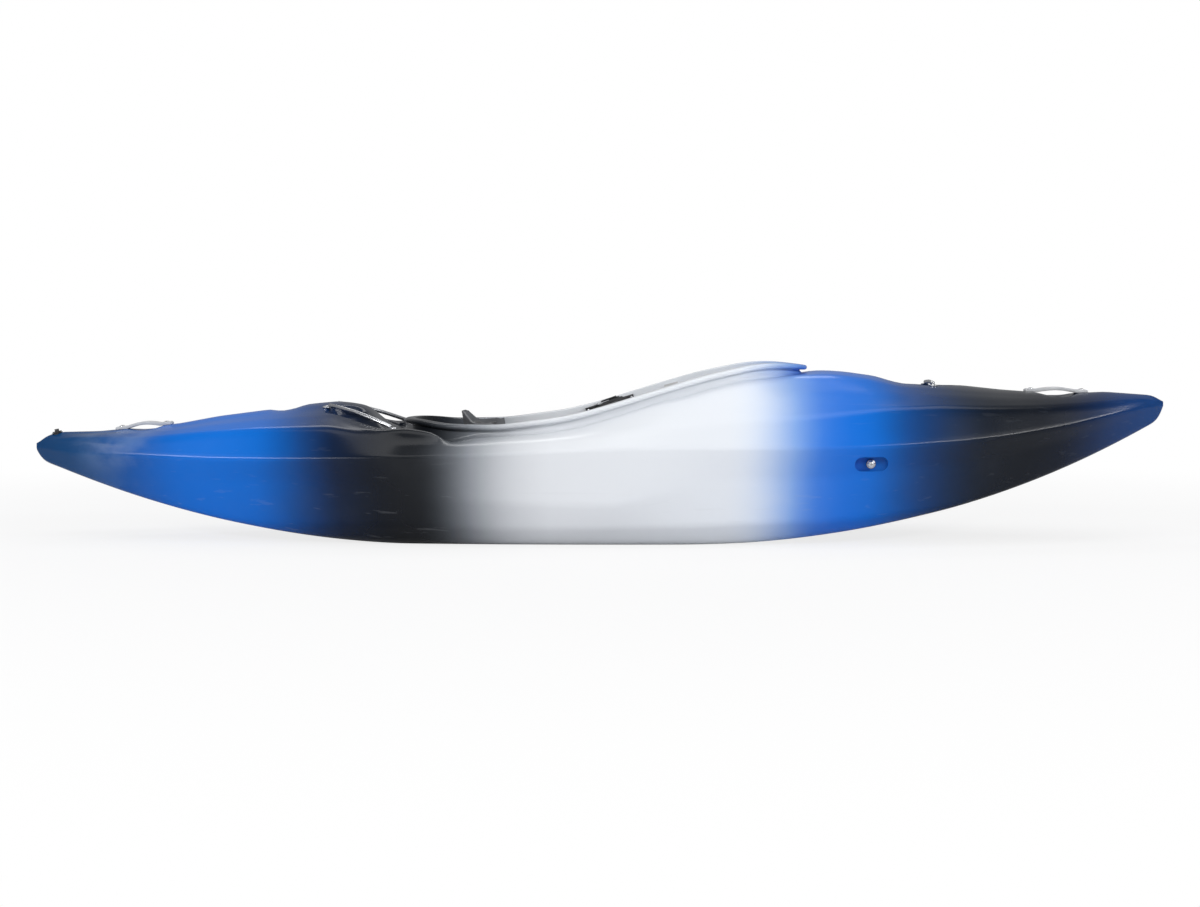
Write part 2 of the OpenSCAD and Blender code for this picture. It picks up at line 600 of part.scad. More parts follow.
// A lock lever turns on a pin between two ears of the sleeve, and its tooth reaches down to the rail
sleeve_top = side_bolt_z + rail_h / 2 + slack + sleeve_wall;
ear_t = 2;
lock_x = plate_x + sleeve_len - 14;
lock_z = sleeve_top + 5;
lock_y = sleeve_in - sleeve_wall;
lock_w = rail_t + 10 - 2 * ear_t - 2 * slack;
lock_pin_r = 1.6;
module footbrace_lock() {
    color([0.75, 0.15, 0.1])
        translate([lock_x, lock_y + ear_t + slack, lock_z])
            rotate([-90, 0, 0])
                difference() {
                    union() {
                        cylinder(r = 4, h = lock_w, $fn = 48);
                        translate([-30, -2, 0]) cube([30, 4, lock_w]);
                        translate([-2.5, 0, 1]) cube([5, sleeve_wall + 4.7, lock_w - 2]);
                    }
                    translate([0, 0, -1]) cylinder(r = lock_pin_r + 0.06, h = lock_w + 2, $fn = 36);
                }
}
module footbrace_lock_left() { footbrace_lock(); }
module footbrace_lock_right() { mirror([0, 1, 0]) footbrace_lock(); }
module footbrace_lock_pins() {
    color([0.7, 0.7, 0.72])
        both_sides()
            translate([lock_x, lock_y + 0.2, lock_z])
                rotate([-90, 0, 0]) cylinder(r = lock_pin_r, h = rail_t + 9.6, $fn = 36);
}

// A soft pad: a closed crowned form with sides that draw in between its corners
pad_rings = [[0, 0.93], [0.3, 1], [0.6, 0.985], [0.82, 0.9], [0.94, 0.68], [1, 0.3]];
bent_rings = [[0, 0.02], [0, 0.25], [0, 0.5], [0, 0.75], [0, 0.93], [0.3, 1], [0.6, 0.985], [0.82, 0.9],
    [0.94, 0.75], [1, 0.5], [1, 0.25], [1, 0.02]];
pad_steps = 32;
function pad_outline(angle, l, w) =
    let (c = cos(angle), s = sin(angle),
        r = pow(pow(abs(c), 5) + pow(abs(s), 5), -0.2) * (1 - 0.03 * pow(cos(2 * angle), 2)))
    [l / 2 * r * c, w / 2 * r * s];
function pad_points(l, w, t, rings = pad_rings) =
    [for (k = rings, i = [0:pad_steps - 1])
        let (p = pad_outline(i * 360 / pad_steps, l, w)) [p[0] * k[1], p[1] * k[1], t * k[0]]];
module pad_solid(points) {
    n = pad_steps;
    last = len(points) / n - 1;
    polyhedron(points, concat([for (j = [1:n - 2]) [0, j, j + 1]],
        [for (j = [1:n - 2]) [last * n, last * n + j + 1, last * n + j]],
        [for (i = [0:last - 1], j = [0:n - 1])
            let (a = i * n + j, b = a + n, c = (i + 1) * n + (j + 1) % n, d = i * n + (j + 1) % n)
            each [[a, b, c], [a, c, d]]]));
}
module pad(l, w, t) { pad_solid(pad_points(l, w, t)); }
// Wraps a pad's point round the inside of a cylinder of radius r
function bent(p, r) =
    let (a = -p[1] / r, q = r - p[2]) [-q * cos(a * 180 / PI), q * sin(a * 180 / PI), p[0]];

foam_t = 16;
module foot_plate_pad() {
    color([0.2, 0.2, 0.21])
        translate([plate_x - slack, 0, plate_mid_z])
            rotate([0, -90, 0]) pad(plate_height - 34, plate_width - 70, foam_t);
}

// Seat: a moulded bucket that slides on a floor track and is locked by one knob
seat_x = -110 * sx;
seat_base = wall_t + track_height + slack;
track_slot = 9;
module rounded_plate(l, w, r, t) {
    linear_extrude(t)
        hull()
            for (s = [-1, 1], q = [-1, 1]) translate([s * (l / 2 - r), q * (w / 2 - r)])
                circle(r = r, $fn = 40);
}
knob_x = seat_x + seat_length / 2 - 58;
module seat_track() {
    color([0.12, 0.12, 0.13]) {
        difference() {
            translate([seat_x - seat_length / 2, -30, wall_t + 0.1])
                cube([seat_length, 60, track_height - 0.1]);
            hull()
                for (s = [-1, 1])
                    translate([knob_x + s * (seat_travel + 2), 0, wall_t - 1])
                        cylinder(r = track_slot / 2 + 0.4, h = track_height + 2, $fn = 32);
        }
        both_sides()
            translate([seat_x - seat_length / 2 + 30, 88, wall_t + 0.1])
                cube([seat_length - 60, 20, track_height - 0.1]);
    }
}
hip_flare = 12;
module seat_form(inset, rise) {
    hull() {
        translate([seat_x, 0, seat_base + inset])
            rounded_plate(seat_length - 64 - 2 * inset, seat_width - 84 - 2 * inset, 30 - inset, 1);
        translate([seat_x, 0, seat_base + seat_height * 0.3 + inset])
            rounded_plate(seat_length - 20 - 2 * inset, seat_width - 2 * hip_flare - 2 * inset,
                40 - inset, 1);
        translate([seat_x, 0, seat_base + seat_height + rise])
            rounded_plate(seat_length - 2 * inset, seat_width - 2 * inset, 44 - inset, 1);
    }
}
module seat_pan() {
    color([0.1, 0.1, 0.11])
        difference() {
            seat_form(0, 0);
            seat_form(seat_skin, 6);
            rotate([90, 0, 0])
                linear_extrude(seat_width + 60, center = true)
                    polygon([[seat_x - seat_length / 2 - 20, seat_base + seat_height * 0.42],
                        [seat_x - seat_length / 2 + 40, seat_base + seat_height * 0.5],
                        [seat_x - seat_length * 0.18, seat_base + seat_height * 0.93],
                        [seat_x + seat_length * 0.12, seat_base + seat_height * 0.95],
                        [seat_x + seat_length / 2 - 40, seat_base + seat_height * 0.42],
                        [seat_x + seat_length / 2 + 20, seat_base + seat_height * 0.34],
                        [seat_x + seat_length / 2 + 20, seat_base + seat_height + 30],
                        [seat_x - seat_length / 2 - 20, seat_base + seat_height + 30]]);
            translate([knob_x, 0, seat_base - 1])
                cylinder(r = track_slot / 2 + 0.06, h = seat_skin + 4, $fn = 40);
        }
}
seat_top = seat_base + seat_skin;
module seat_pad() {
    color([0.15, 0.15, 0.16])
        translate([seat_x - 34, 0, seat_top + slack])
            pad(seat_length - 138, seat_width - 112, 17);
}
knob_r = 19;
module seat_lock_knob() {
    color([0.09, 0.09, 0.1])
        translate([knob_x, 0, seat_top + slack]) {
            rotate_extrude($fn = 48)
                polygon([[0, 0], [knob_r - 3, 0], [knob_r, 3], [knob_r, 10], [knob_r - 3, 13], [0, 13]]);
            for (a = [0:45:315])
                rotate([0, 0, a]) translate([knob_r - 0.5, 0, 2]) cylinder(r = 2.5, h = 9, $fn = 20);
            translate([0, 0, -seat_top - slack + wall_t + 1])
                cylinder(r = track_slot / 2, h = seat_top + slack - wall_t, $fn = 40);
        }
}
hip_pad_size = [150, 82, 20];
hip_pad_z = seat_height * 0.62;
module hip_pad() {
    wall_lean = hip_flare / (seat_height * 0.7 + 6 - seat_skin);
    wall_y = seat_width / 2 - hip_flare - seat_skin + (hip_pad_z - seat_height * 0.3 - seat_skin) * wall_lean;
    color([0.17, 0.17, 0.18])
        translate([seat_x - 10, wall_y - 2 * slack, seat_base + hip_pad_z])
            rotate([90 - atan(wall_lean), 0, 0])
                pad(hip_pad_size[0], hip_pad_size[1] * seat_height / 150, hip_pad_size[2]);
}
module hip_pad_left() { hip_pad(); }
module hip_pad_right() { mirror([0, 1, 0]) hip_pad(); }

// Thigh braces: curved plates under the front of the rim,
// each slotted on a bracket that is bolted to the riser
brace_x = 178 * sx;
brace_yaw = atan2(opening_y(brace_x + 40) - opening_y(brace_x - 40), 80);
brace_pitch = atan2(deck_edge_z(brace_x + 90) - deck_edge_z(brace_x - 60), 150);
brace_z = deck_edge_z(brace_x) - wall_t;
brace_len = 190;
brace_t = 6;
brace_drop = 14;
brace_slot = 62;
brace_curl = 60;
module brace_frame() {
    translate([brace_x, opening_y(brace_x), brace_z])
        rotate([0, 0, brace_yaw]) rotate([0, -brace_pitch, 0]) children();
}
module thigh_brace() {
    color([0.12, 0.12, 0.13])
        brace_frame()
            difference() {
                union() {
                    translate([-brace_len / 2, -18 - 44, -brace_drop - brace_t])
                        cube([brace_len, 44, brace_t]);
                    translate([-brace_len / 2, -18 - 44, -brace_drop - brace_curl])
                        rotate([90, 0, 90])
                            linear_extrude(brace_len)
                                intersection() {
                                    difference() {
                                        circle(r = brace_curl, $fn = 96);
                                        circle(r = brace_curl - brace_t, $fn = 96);
                                    }
                                    translate([-70, 25]) square([70, 60]);
                                }
                }
                hull()
                    for (s = [-1, 1])
                        translate([s * (brace_slot / 2), -31, -brace_drop - brace_t - 1])
                            cylinder(r = 3.4, h = brace_t + 2, $fn = 32);
                for (s = [-1, 1])
                    translate([s * brace_len / 2, -110, -brace_drop - 60])
                        rotate([0, 0, s * 24]) translate([-40, -40, 0]) cube([80, 60, 80]);
            }
}
module thigh_brace_left() { thigh_brace(); }
module thigh_brace_right() { mirror([0, 1, 0]) thigh_brace(); }

bracket_w = 34;
bracket_off = 1.2;
module thigh_brackets() {
    color([0.8, 0.81, 0.82])
        both_sides()
            brace_frame()
                difference() {
                    union() {
                        translate([-bracket_w / 2, -bracket_off - 3, -brace_drop + slack])
                            cube([bracket_w, 3, brace_drop + 26]);
                        translate([-bracket_w / 2, -42, -brace_drop + slack])
                            cube([bracket_w, 41 - bracket_off, 3]);
                    }
                    translate([0, -31, -brace_drop - 1]) cylinder(r = 3.2, h = 8, $fn = 32);
                    translate([0, 0, 14]) rotate([90, 0, 0]) cylinder(r = 2.7, h = 20, $fn = 32);
                }
}
module thigh_bracket_bolts() {
    color([0.72, 0.73, 0.75])
        both_sides()
            brace_frame() {
                translate([0, -31, -brace_drop - brace_t - 8]) cylinder(r = 3, h = brace_t + 8 + 6, $fn = 32);
                translate([0, -31, -brace_drop + slack + 3 + 0.1]) cylinder(r = 6, h = 3.4, $fn = 32);
                translate([0, -31, -brace_drop - brace_t - slack - 1.6]) cylinder(r = 9, h = 1.6, $fn = 32);
                translate([0, -31, -brace_drop - brace_t - 7]) cylinder(r = 5.5, h = 5, $fn = 6);
                translate([0, -bracket_off, 14]) rotate([90, 0, 0]) cylinder(r = 2.5, h = 3.6, $fn = 32);
                translate([0, -bracket_off - 3.1, 14]) rotate([90, 0, 0])
                    rotate_extrude($fn = 32) polygon([[0, 0], [5.5, 0], [4, 2.2], [0, 2.8]]);
            }
}
thigh_pad_len = 160;
module thigh_pad() {
    color([0.17, 0.17, 0.18])
        brace_frame()
            translate([0, -18 - 44, -brace_drop - brace_curl])
                rotate([90, 0, 90])
                    rotate([0, 0, -58])
                        pad_solid([for (p = pad_points(thigh_pad_len, 46, 10, bent_rings))
                            bent(p, brace_curl - brace_t - slack)]);
}
module thigh_pad_left() { thigh_pad(); }
module thigh_pad_right() { mirror([0, 1, 0]) thigh_pad(); }

// Backband: a curved plastic stay with a foam pad, hung between the two ladder straps
band_x = -318 * sx;
band_top = 289 * sz;
band_bow = 83;
band_r = (pow(band_width / 2, 2) + band_bow * band_bow) / 2 / band_bow;
band_half_angle = asin(band_width / 2 / band_r);
band_lean = 10;
band_skin = 4;
module band_frame() {
    translate([band_x, 0, band_top]) rotate([0, -band_lean, 0]) translate([band_r, 0, 0]) children();
}
module band_trim() {
    rotate([90, 0, 90])
        linear_extrude(4 * band_r, center = true)
            polygon([[-band_width, -band_height - 10], [band_width, -band_height - 10],
                [band_width, -42], [band_width * 0.47, -38], [band_width * 0.3, -13],
                [band_width * 0.16, 0], [-band_width * 0.16, 0], [-band_width * 0.3, -13],
                [-band_width * 0.47, -38], [-band_width, -42]]);
}
// Places its children on the outside of a wing, with -X pointing outwards and +Y towards the wing's tip
wing_angle = band_half_angle - 6;
wing_z = -band_height * 0.55;
module on_wing() {
    band_frame() rotate([0, 0, -wing_angle]) translate([-band_r, 0, wing_z]) children();
}
rivet_r = 2;
module backband_shell() {
    color([0.11, 0.11, 0.12])
        difference() {
            band_frame()
                intersection() {
                    rotate([0, 0, 180 - band_half_angle])
                        rotate_extrude(angle = 2 * band_half_angle, $fn = 160)
                            translate([band_r - band_skin, -band_height]) square([band_skin, band_height]);
                    band_trim();
                }
            both_sides()
                on_wing() rotate([0, 90, 0]) cylinder(r = rivet_r + 0.1, h = 30, center = true, $fn = 32);
        }
}
module backband_pad() {
    r = band_r - band_skin - slack - 0.15;
    arc = 2 * band_half_angle * PI / 180 * r - 36;
    color([0.16, 0.16, 0.17])
        band_frame()
            translate([0, 0, -band_height / 2 - 8])
                pad_solid([for (p = pad_points(band_height - 34, arc, band_pad, bent_rings)) bent(p, r)]);
}

// Ratchets on the riser's inner wall, and the ladder straps that run through them to the backband
ratchet_x = -17 * sx;
ratchet_len = 93;
ratchet_wide = 26;
ratchet_pitch = atan2(rim_z(ratchet_x + ratchet_len) - rim_z(ratchet_x), ratchet_len);
ratchet_y = min(opening_y(ratchet_x), opening_y(ratchet_x + ratchet_len)) - 4 - ratchet_wide / 2;
ratchet_z = rim_z(ratchet_x) - 23;
strap_w = 18;
strap_t = 2;
strap_n = 3.6;
pin_r = 1.5;
lever_pin = [70, 12];
pawl_pin = [38, 11];
module ratchet_frame() {
    translate([ratchet_x, ratchet_y, ratchet_z]) rotate([0, -ratchet_pitch, 0]) children();
}
module across(s, n, r, half, fn = 32) {
    translate([s, half, n]) rotate([90, 0, 0]) cylinder(r = r, h = 2 * half, $fn = fn);
}
// The base's flange fills the gap to the riser: its outer edge follows the opening
flange_h = 14;
flange_ends = [-14, 106];
ratchet_screw_s = [-8, 100];
function wall_gap(s) = opening_y(ratchet_x + s * cos(ratchet_pitch)) - ratchet_y - 0.8;
module ratchet_base() {
    color([0.08, 0.08, 0.09])
        ratchet_frame()
            difference() {
                union() {
                    translate([0, -ratchet_wide / 2, 0]) cube([ratchet_len, ratchet_wide, 3]);
                    for (s = [-1, 1])
                        translate([0, s * (ratchet_wide / 2 - 1), 0])
                            rotate([90, 0, 0])
                                linear_extrude(2, center = true)
                                    polygon([[6, 0], [14, 9], [30, 15], [62, 17], [78, 17],
                                        [86, 10], [88, 0]]);
                    linear_extrude(flange_h)
                        polygon(concat([[flange_ends[0], ratchet_wide / 2 - 1],
                            [flange_ends[1], ratchet_wide / 2 - 1]],
                            [for (s = [flange_ends[1]:-20:flange_ends[0]]) [s, wall_gap(s)]]));
                }
                across(lever_pin[0], lever_pin[1], pin_r + 0.05, 11.9);
                across(pawl_pin[0], pawl_pin[1], pin_r + 0.05, 11.9);
                for (s = ratchet_screw_s)
                    translate([s, 0, flange_h / 2]) rotate([-90, 0, 0]) cylinder(r = 1.8, h = 40, $fn = 28);
            }
}
module ratchet_base_left() { ratchet_base(); }
module ratchet_base_right() { mirror([0, 1, 0]) ratchet_base(); }

module ratchet_screws() {
    color([0.7, 0.71, 0.73])
        both_sides()
            ratchet_frame()
                for (s = ratchet_screw_s)
                    translate([s, ratchet_wide / 2 - 1.1, flange_h / 2])
                        rotate([-90, 0, 0]) {
                            translate([0, 0, -1.4]) cylinder(r = 3, h = 1.4, $fn = 28);
                            cylinder(r = 1.6, h = wall_gap(s) - ratchet_wide / 2 + 1.1, $fn = 28);
                        }
}

ear_gap = ratchet_wide / 2 - 2 - slack;
module ratchet_lever() {
    color([0.1, 0.1, 0.11])
        ratchet_frame()
            difference() {
                union() {
                    rotate([90, 0, 0])
                        linear_extrude(2 * ear_gap, center = true)
                            polygon([[47, 18.4], [62, 20], [71, 19.5], [75, 16], [75.4, 12], [74, 8.6],
                                [70, 7.2], [66, 8.4], [60, 13], [47, 15.5]]);
                    rotate([90, 0, 0])
                        linear_extrude(ratchet_wide - 3, center = true)
                            polygon([[28, 17.6], [48, 17.8], [66, 19.5], [66, 22.5], [46, 21.5],
                                [30, 20.6], [26, 19]]);
                }
                across(lever_pin[0], lever_pin[1], pin_r + 0.05, 20);
                translate([64, -3, 5]) cube([14, 6, 13]);
            }
}
module ratchet_lever_left() { ratchet_lever(); }
module ratchet_lever_right() { mirror([0, 1, 0]) ratchet_lever(); }

module ratchet_pawl() {
    color([0.62, 0.63, 0.65])
        ratchet_frame()
            difference() {
                rotate([90, 0, 0])
                    linear_extrude(2 * ear_gap, center = true)
                        polygon([[8, 16.4], [26, 15.4], [36, 14.8], [42, 14], [46, 10], [48, 7], [44, 7.4],
                            [37, 7.9], [32, 9], [24, 12.4], [8, 13.8]]);
                across(pawl_pin[0], pawl_pin[1], pin_r + 0.05, 20);
                translate([32, -3, 5]) cube([12, 6, 12]);
            }
}
module ratchet_pawl_left() { ratchet_pawl(); }
module ratchet_pawl_right() { mirror([0, 1, 0]) ratchet_pawl(); }

module ratchet_pins() {
    color([0.75, 0.76, 0.78])
        both_sides()
            ratchet_frame() {
                across(lever_pin[0], lever_pin[1], pin_r, 11.8);
                across(pawl_pin[0], pawl_pin[1], pin_r, 11.8);
            }
}
module ratchet_springs() {
    color([0.6, 0.61, 0.63])
        both_sides()
            ratchet_frame()
                for (p = [lever_pin, pawl_pin])
                    difference() {
                        across(p[0], p[1], pin_r + 1, 2.6);
                        across(p[0], p[1], pin_r + 0.1, 4);
                    }
}

strap_tail = 58;
strap_back = 78;
strap_end = [-14, 27];
tooth = [2.4, 0.7];
module ladder_strap() {
    color([0.09, 0.09, 0.1]) resize([0, 0, 0]) {
        ratchet_frame() {
            translate([-strap_back, -strap_w / 2, strap_n])
                cube([strap_back + ratchet_len + strap_tail, strap_w, strap_t]);
            for (s = [-strap_back + 6:6:ratchet_len + strap_tail - 8])
                translate([s, -strap_w / 2 + 3, strap_n + strap_t - 0.01])
                    cube([tooth[0], strap_w - 6, tooth[1]]);
        }
        hull() {
            ratchet_frame() translate([-strap_back, -strap_w / 2, strap_n]) cube([0.5, strap_w, strap_t]);
            on_wing() translate([-strap_t - slack, strap_end[1] - 0.5, -strap_w / 2])
                cube([strap_t, 0.5, strap_w]);
        }
        difference() {
            on_wing()
                translate([-strap_t - slack, strap_end[0], -strap_w / 2])
                    cube([strap_t, strap_end[1] - strap_end[0], strap_w]);
            on_wing() rotate([0, 90, 0]) cylinder(r = rivet_r + 0.2, h = 30, center = true, $fn = 24);
        }
    }
}
module ladder_strap_left() { ladder_strap(); }
module ladder_strap_right() { mirror([0, 1, 0]) ladder_strap(); }
module strap_rivets() {
    color([0.72, 0.73, 0.75])
        both_sides()
            on_wing()
                rotate([0, -90, 0]) {
                    translate([0, 0, -band_skin - 0.1])
                        cylinder(r = rivet_r, h = band_skin + strap_t + 1, $fn = 32);
                    translate([0, 0, strap_t + slack + 0.1])
                        rotate_extrude($fn = 32) polygon([[0, 0], [5, 0], [3.6, 2], [0, 2.6]]);
                }
}

hull_shell();
drain_plug_seat();
drain_plug();
bow_grab_handle();
stern_grab_handle();
grab_handle_bolts();
rear_security_bar_right();
rear_security_bar_left();
front_security_bar();
security_bar_screws();
bow_foam_pillar();
stern_foam_pillar();
footbrace_rail_right();
footbrace_rail_left();
footbrace_bolts();
footbrace_bolt_seals();
foot_plate();
foot_plate_pad();
footbrace_lock_right();
footbrace_lock_left();
footbrace_lock_pins();
seat_track();
seat_pan();
seat_pad();
seat_lock_knob();
hip_pad_right();
hip_pad_left();
thigh_brackets();
thigh_bracket_bolts();
thigh_brace_right();
thigh_brace_left();
thigh_pad_right();
thigh_pad_left();
backband_shell();
backband_pad();
ladder_strap_right();
ladder_strap_left();
strap_rivets();
ratchet_base_right();
ratchet_base_left();
ratchet_screws();
ratchet_lever_right();
ratchet_lever_left();
ratchet_pawl_right();
ratchet_pawl_left();
ratchet_pins();
ratchet_springs();
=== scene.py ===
import bpy
import bmesh
import math
import numpy as np
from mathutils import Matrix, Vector


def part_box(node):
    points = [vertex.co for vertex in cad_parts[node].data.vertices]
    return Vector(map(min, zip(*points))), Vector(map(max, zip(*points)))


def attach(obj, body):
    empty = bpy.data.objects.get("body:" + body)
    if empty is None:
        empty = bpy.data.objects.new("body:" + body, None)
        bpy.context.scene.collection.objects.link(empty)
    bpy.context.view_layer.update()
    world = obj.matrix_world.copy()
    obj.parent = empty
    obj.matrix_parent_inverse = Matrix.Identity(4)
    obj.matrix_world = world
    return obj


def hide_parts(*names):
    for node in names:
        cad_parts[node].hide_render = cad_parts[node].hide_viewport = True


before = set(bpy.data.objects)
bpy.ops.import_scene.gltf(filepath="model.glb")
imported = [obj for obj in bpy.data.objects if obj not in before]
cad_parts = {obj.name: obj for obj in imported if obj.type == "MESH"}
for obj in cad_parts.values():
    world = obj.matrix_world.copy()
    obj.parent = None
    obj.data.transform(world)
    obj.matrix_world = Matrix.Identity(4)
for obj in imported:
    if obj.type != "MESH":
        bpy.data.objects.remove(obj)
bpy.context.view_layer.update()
bpy.ops.object.select_all(action="DESELECT")

# The camera stands five metres off the starboard side, a little over the deck, with the bow to its right.
# It looks slightly down at the middle of the hull, as far off as the photograph's own perspective says.
camera_distance = 5.0
camera_height = 0.473
aim_height = 0.19
frame_width = 2.773
sensor_width = 36.0
camera_data = bpy.data.cameras.new("camera")
camera_data.sensor_width = sensor_width
camera_data.lens = sensor_width * math.hypot(camera_distance, camera_height - aim_height) / frame_width
camera = bpy.data.objects.new("camera", camera_data)
bpy.context.collection.objects.link(camera)
camera.location = (0.001, -camera_distance, camera_height)
camera.rotation_euler = (Vector((0.001, 0, aim_height)) - camera.location).to_track_quat("-Z", "Y").to_euler()
bpy.context.scene.camera = camera
bpy.context.scene.view_settings.view_transform = "Standard"

# A pale studio sweep: a flat floor in the same white as the world that the camera sees behind it.
# It takes the hull's soft shadow close by, and fades into that white a few metres away.
bpy.ops.mesh.primitive_plane_add(size=24)
floor = bpy.context.object
floor.name = "floor"
floor_mat = bpy.data.materials.new("studio_floor")
floor_mat.use_nodes = True
floor_nodes = floor_mat.node_tree.nodes
floor_links = floor_mat.node_tree.links
floor_shader = floor_nodes["Principled BSDF"]
floor_shader.inputs["Base Color"].default_value = (0.8, 0.8, 0.81, 1)
floor_shader.inputs["Roughness"].default_value = 0.9
floor_shader.inputs["Specular IOR Level"].default_value = 0.1
glow = floor_nodes.new("ShaderNodeEmission")
glow.inputs["Strength"].default_value = 1.0
rays = floor_nodes.new("ShaderNodeLightPath")
floor_place = floor_nodes.new("ShaderNodeTexCoord")
reach = floor_nodes.new("ShaderNodeVectorMath")
reach.operation = "LENGTH"
fade = floor_nodes.new("ShaderNodeMapRange")
fade.interpolation_type = "SMOOTHSTEP"
fade.inputs["From Min"].default_value = 0.9
fade.inputs["From Max"].default_value = 3.2
fade.inputs["To Min"].default_value = 0.8
fade.inputs["To Max"].default_value = 1.0
share = floor_nodes.new("ShaderNodeMath")
share.operation = "MULTIPLY"
lit_or_white = floor_nodes.new("ShaderNodeMixShader")
floor_links.new(floor_place.outputs["Object"], reach.inputs[0])
floor_links.new(reach.outputs["Value"], fade.inputs["Value"])
floor_links.new(rays.outputs["Is Camera Ray"], share.inputs[0])
floor_links.new(fade.outputs["Result"], share.inputs[1])
floor_links.new(share.outputs["Value"], lit_or_white.inputs["Fac"])
floor_links.new(floor_shader.outputs["BSDF"], lit_or_white.inputs[1])
floor_links.new(glow.outputs["Emission"], lit_or_white.inputs[2])
floor_links.new(lit_or_white.outputs["Shader"], floor_nodes["Material Output"].inputs["Surface"])
floor.data.materials.append(floor_mat)

world = bpy.data.worlds.new("studio")
bpy.context.scene.world = world
world.use_nodes = True
sky = world.node_tree.nodes
sky_links = world.node_tree.links
room = sky["Background"]
room.inputs["Color"].default_value = (0.97, 0.98, 1.0, 1)
room.inputs["Strength"].default_value = 0.32
seen = sky.new("ShaderNodeBackground")
seen.inputs["Color"].default_value = (1, 1, 1, 1)
seen.inputs["Strength"].default_value = 1.0
path = sky.new("ShaderNodeLightPath")
pick = sky.new("ShaderNodeMixShader")
sky_links.new(path.outputs["Is Camera Ray"], pick.inputs["Fac"])
sky_links.new(room.outputs["Background"], pick.inputs[1])
sky_links.new(seen.outputs["Background"], pick.inputs[2])
sky_links.new(pick.outputs["Shader"], sky["World Output"].inputs["Surface"])


def softbox(name, place, aim, size, power):
    data = bpy.data.lights.new(name, "AREA")
    data.shape = "RECTANGLE"
    data.size = size[0]
    data.size_y = size[1]
    data.energy = power
    lamp = bpy.data.objects.new(name, data)
    bpy.context.collection.objects.link(lamp)
    lamp.location = place
    lamp.rotation_euler = (Vector(aim) - Vector(place)).to_track_quat("-Z", "Y").to_euler()


softbox("overhead", (0.2, -0.4, 3.4), (0, 0, 0.2), (4.5, 1.6), 40)
softbox("front", (0.2, -5.2, 2.3), (0, 0, 0.25), (4.6, 0.5), 36)
softbox("back", (-0.5, 3.4, 4.4), (0, 0, 0.2), (4.0, 1.2), 44)
softbox("stern_strip", (-3.9, -3.3, 2.1), (-0.8, -0.2, 0.2), (2.8, 0.36), 92)
softbox("bow_strip", (4.1, -2.9, 2.2), (0.85, -0.2, 0.25), (3.4, 0.36), 100)


# One moulded finish for every material: two shades mottled by soft noise, with a fine grain for the bump.
# The roughness wanders between two values, so that no surface shines evenly.
def mottle_group():
    group = bpy.data.node_groups.new("mottle", "ShaderNodeTree")
    face = group.interface
    for name, kind, value in (("Shade A", "NodeSocketColor", (0.5, 0.5, 0.5, 1)),
                              ("Shade B", "NodeSocketColor", (0.4, 0.4, 0.4, 1)),
                              ("Patch Scale", "NodeSocketFloat", 8.0), ("Grain Scale", "NodeSocketFloat", 400.0),
                              ("Rough Low", "NodeSocketFloat", 0.3), ("Rough High", "NodeSocketFloat", 0.5)):
        face.new_socket(name, in_out="INPUT", socket_type=kind).default_value = value
    for name, kind in (("Color", "NodeSocketColor"), ("Roughness", "NodeSocketFloat"),
                       ("Height", "NodeSocketFloat")):
        face.new_socket(name, in_out="OUTPUT", socket_type=kind)
    nodes = group.nodes
    links = group.links
    given = nodes.new("NodeGroupInput")
    out = nodes.new("NodeGroupOutput")
    place = nodes.new("ShaderNodeTexCoord")
    patch = nodes.new("ShaderNodeTexNoise")
    patch.inputs["Detail"].default_value = 3
    grain = nodes.new("ShaderNodeTexNoise")
    grain.inputs["Detail"].default_value = 3
    mix = nodes.new("ShaderNodeMix")
    mix.data_type = "RGBA"
    rough = nodes.new("ShaderNodeMapRange")
    rough.interpolation_type = "SMOOTHSTEP"
    rough.inputs["From Min"].default_value = 0.25
    rough.inputs["From Max"].default_value = 0.75
    sharpen = nodes.new("ShaderNodeMapRange")
    sharpen.interpolation_type = "SMOOTHSTEP"
    sharpen.inputs["From Min"].default_value = 0.3
    sharpen.inputs["From Max"].default_value = 0.7
    for node, scale in ((patch, "Patch Scale"), (grain, "Grain Scale")):
        links.new(place.outputs["Object"], node.inputs["Vector"])
        links.new(given.outputs[scale], node.inputs["Scale"])
    links.new(patch.outputs["Fac"], sharpen.inputs["Value"])
    links.new(sharpen.outputs["Result"], mix.inputs["Factor"])
    links.new(given.outputs["Shade A"], mix.inputs["A"])
    links.new(given.outputs["Shade B"], mix.inputs["B"])
    links.new(patch.outputs["Fac"], rough.inputs["Value"])
    links.new(given.outputs["Rough Low"], rough.inputs["To Min"])
    links.new(given.outputs["Rough High"], rough.inputs["To Max"])
    links.new(mix.outputs["Result"], out.inputs["Color"])
    links.new(rough.outputs["Result"], out.inputs["Roughness"])
    links.new(grain.outputs["Fac"], out.inputs["Height"])
    return group


mottle = mottle_group()


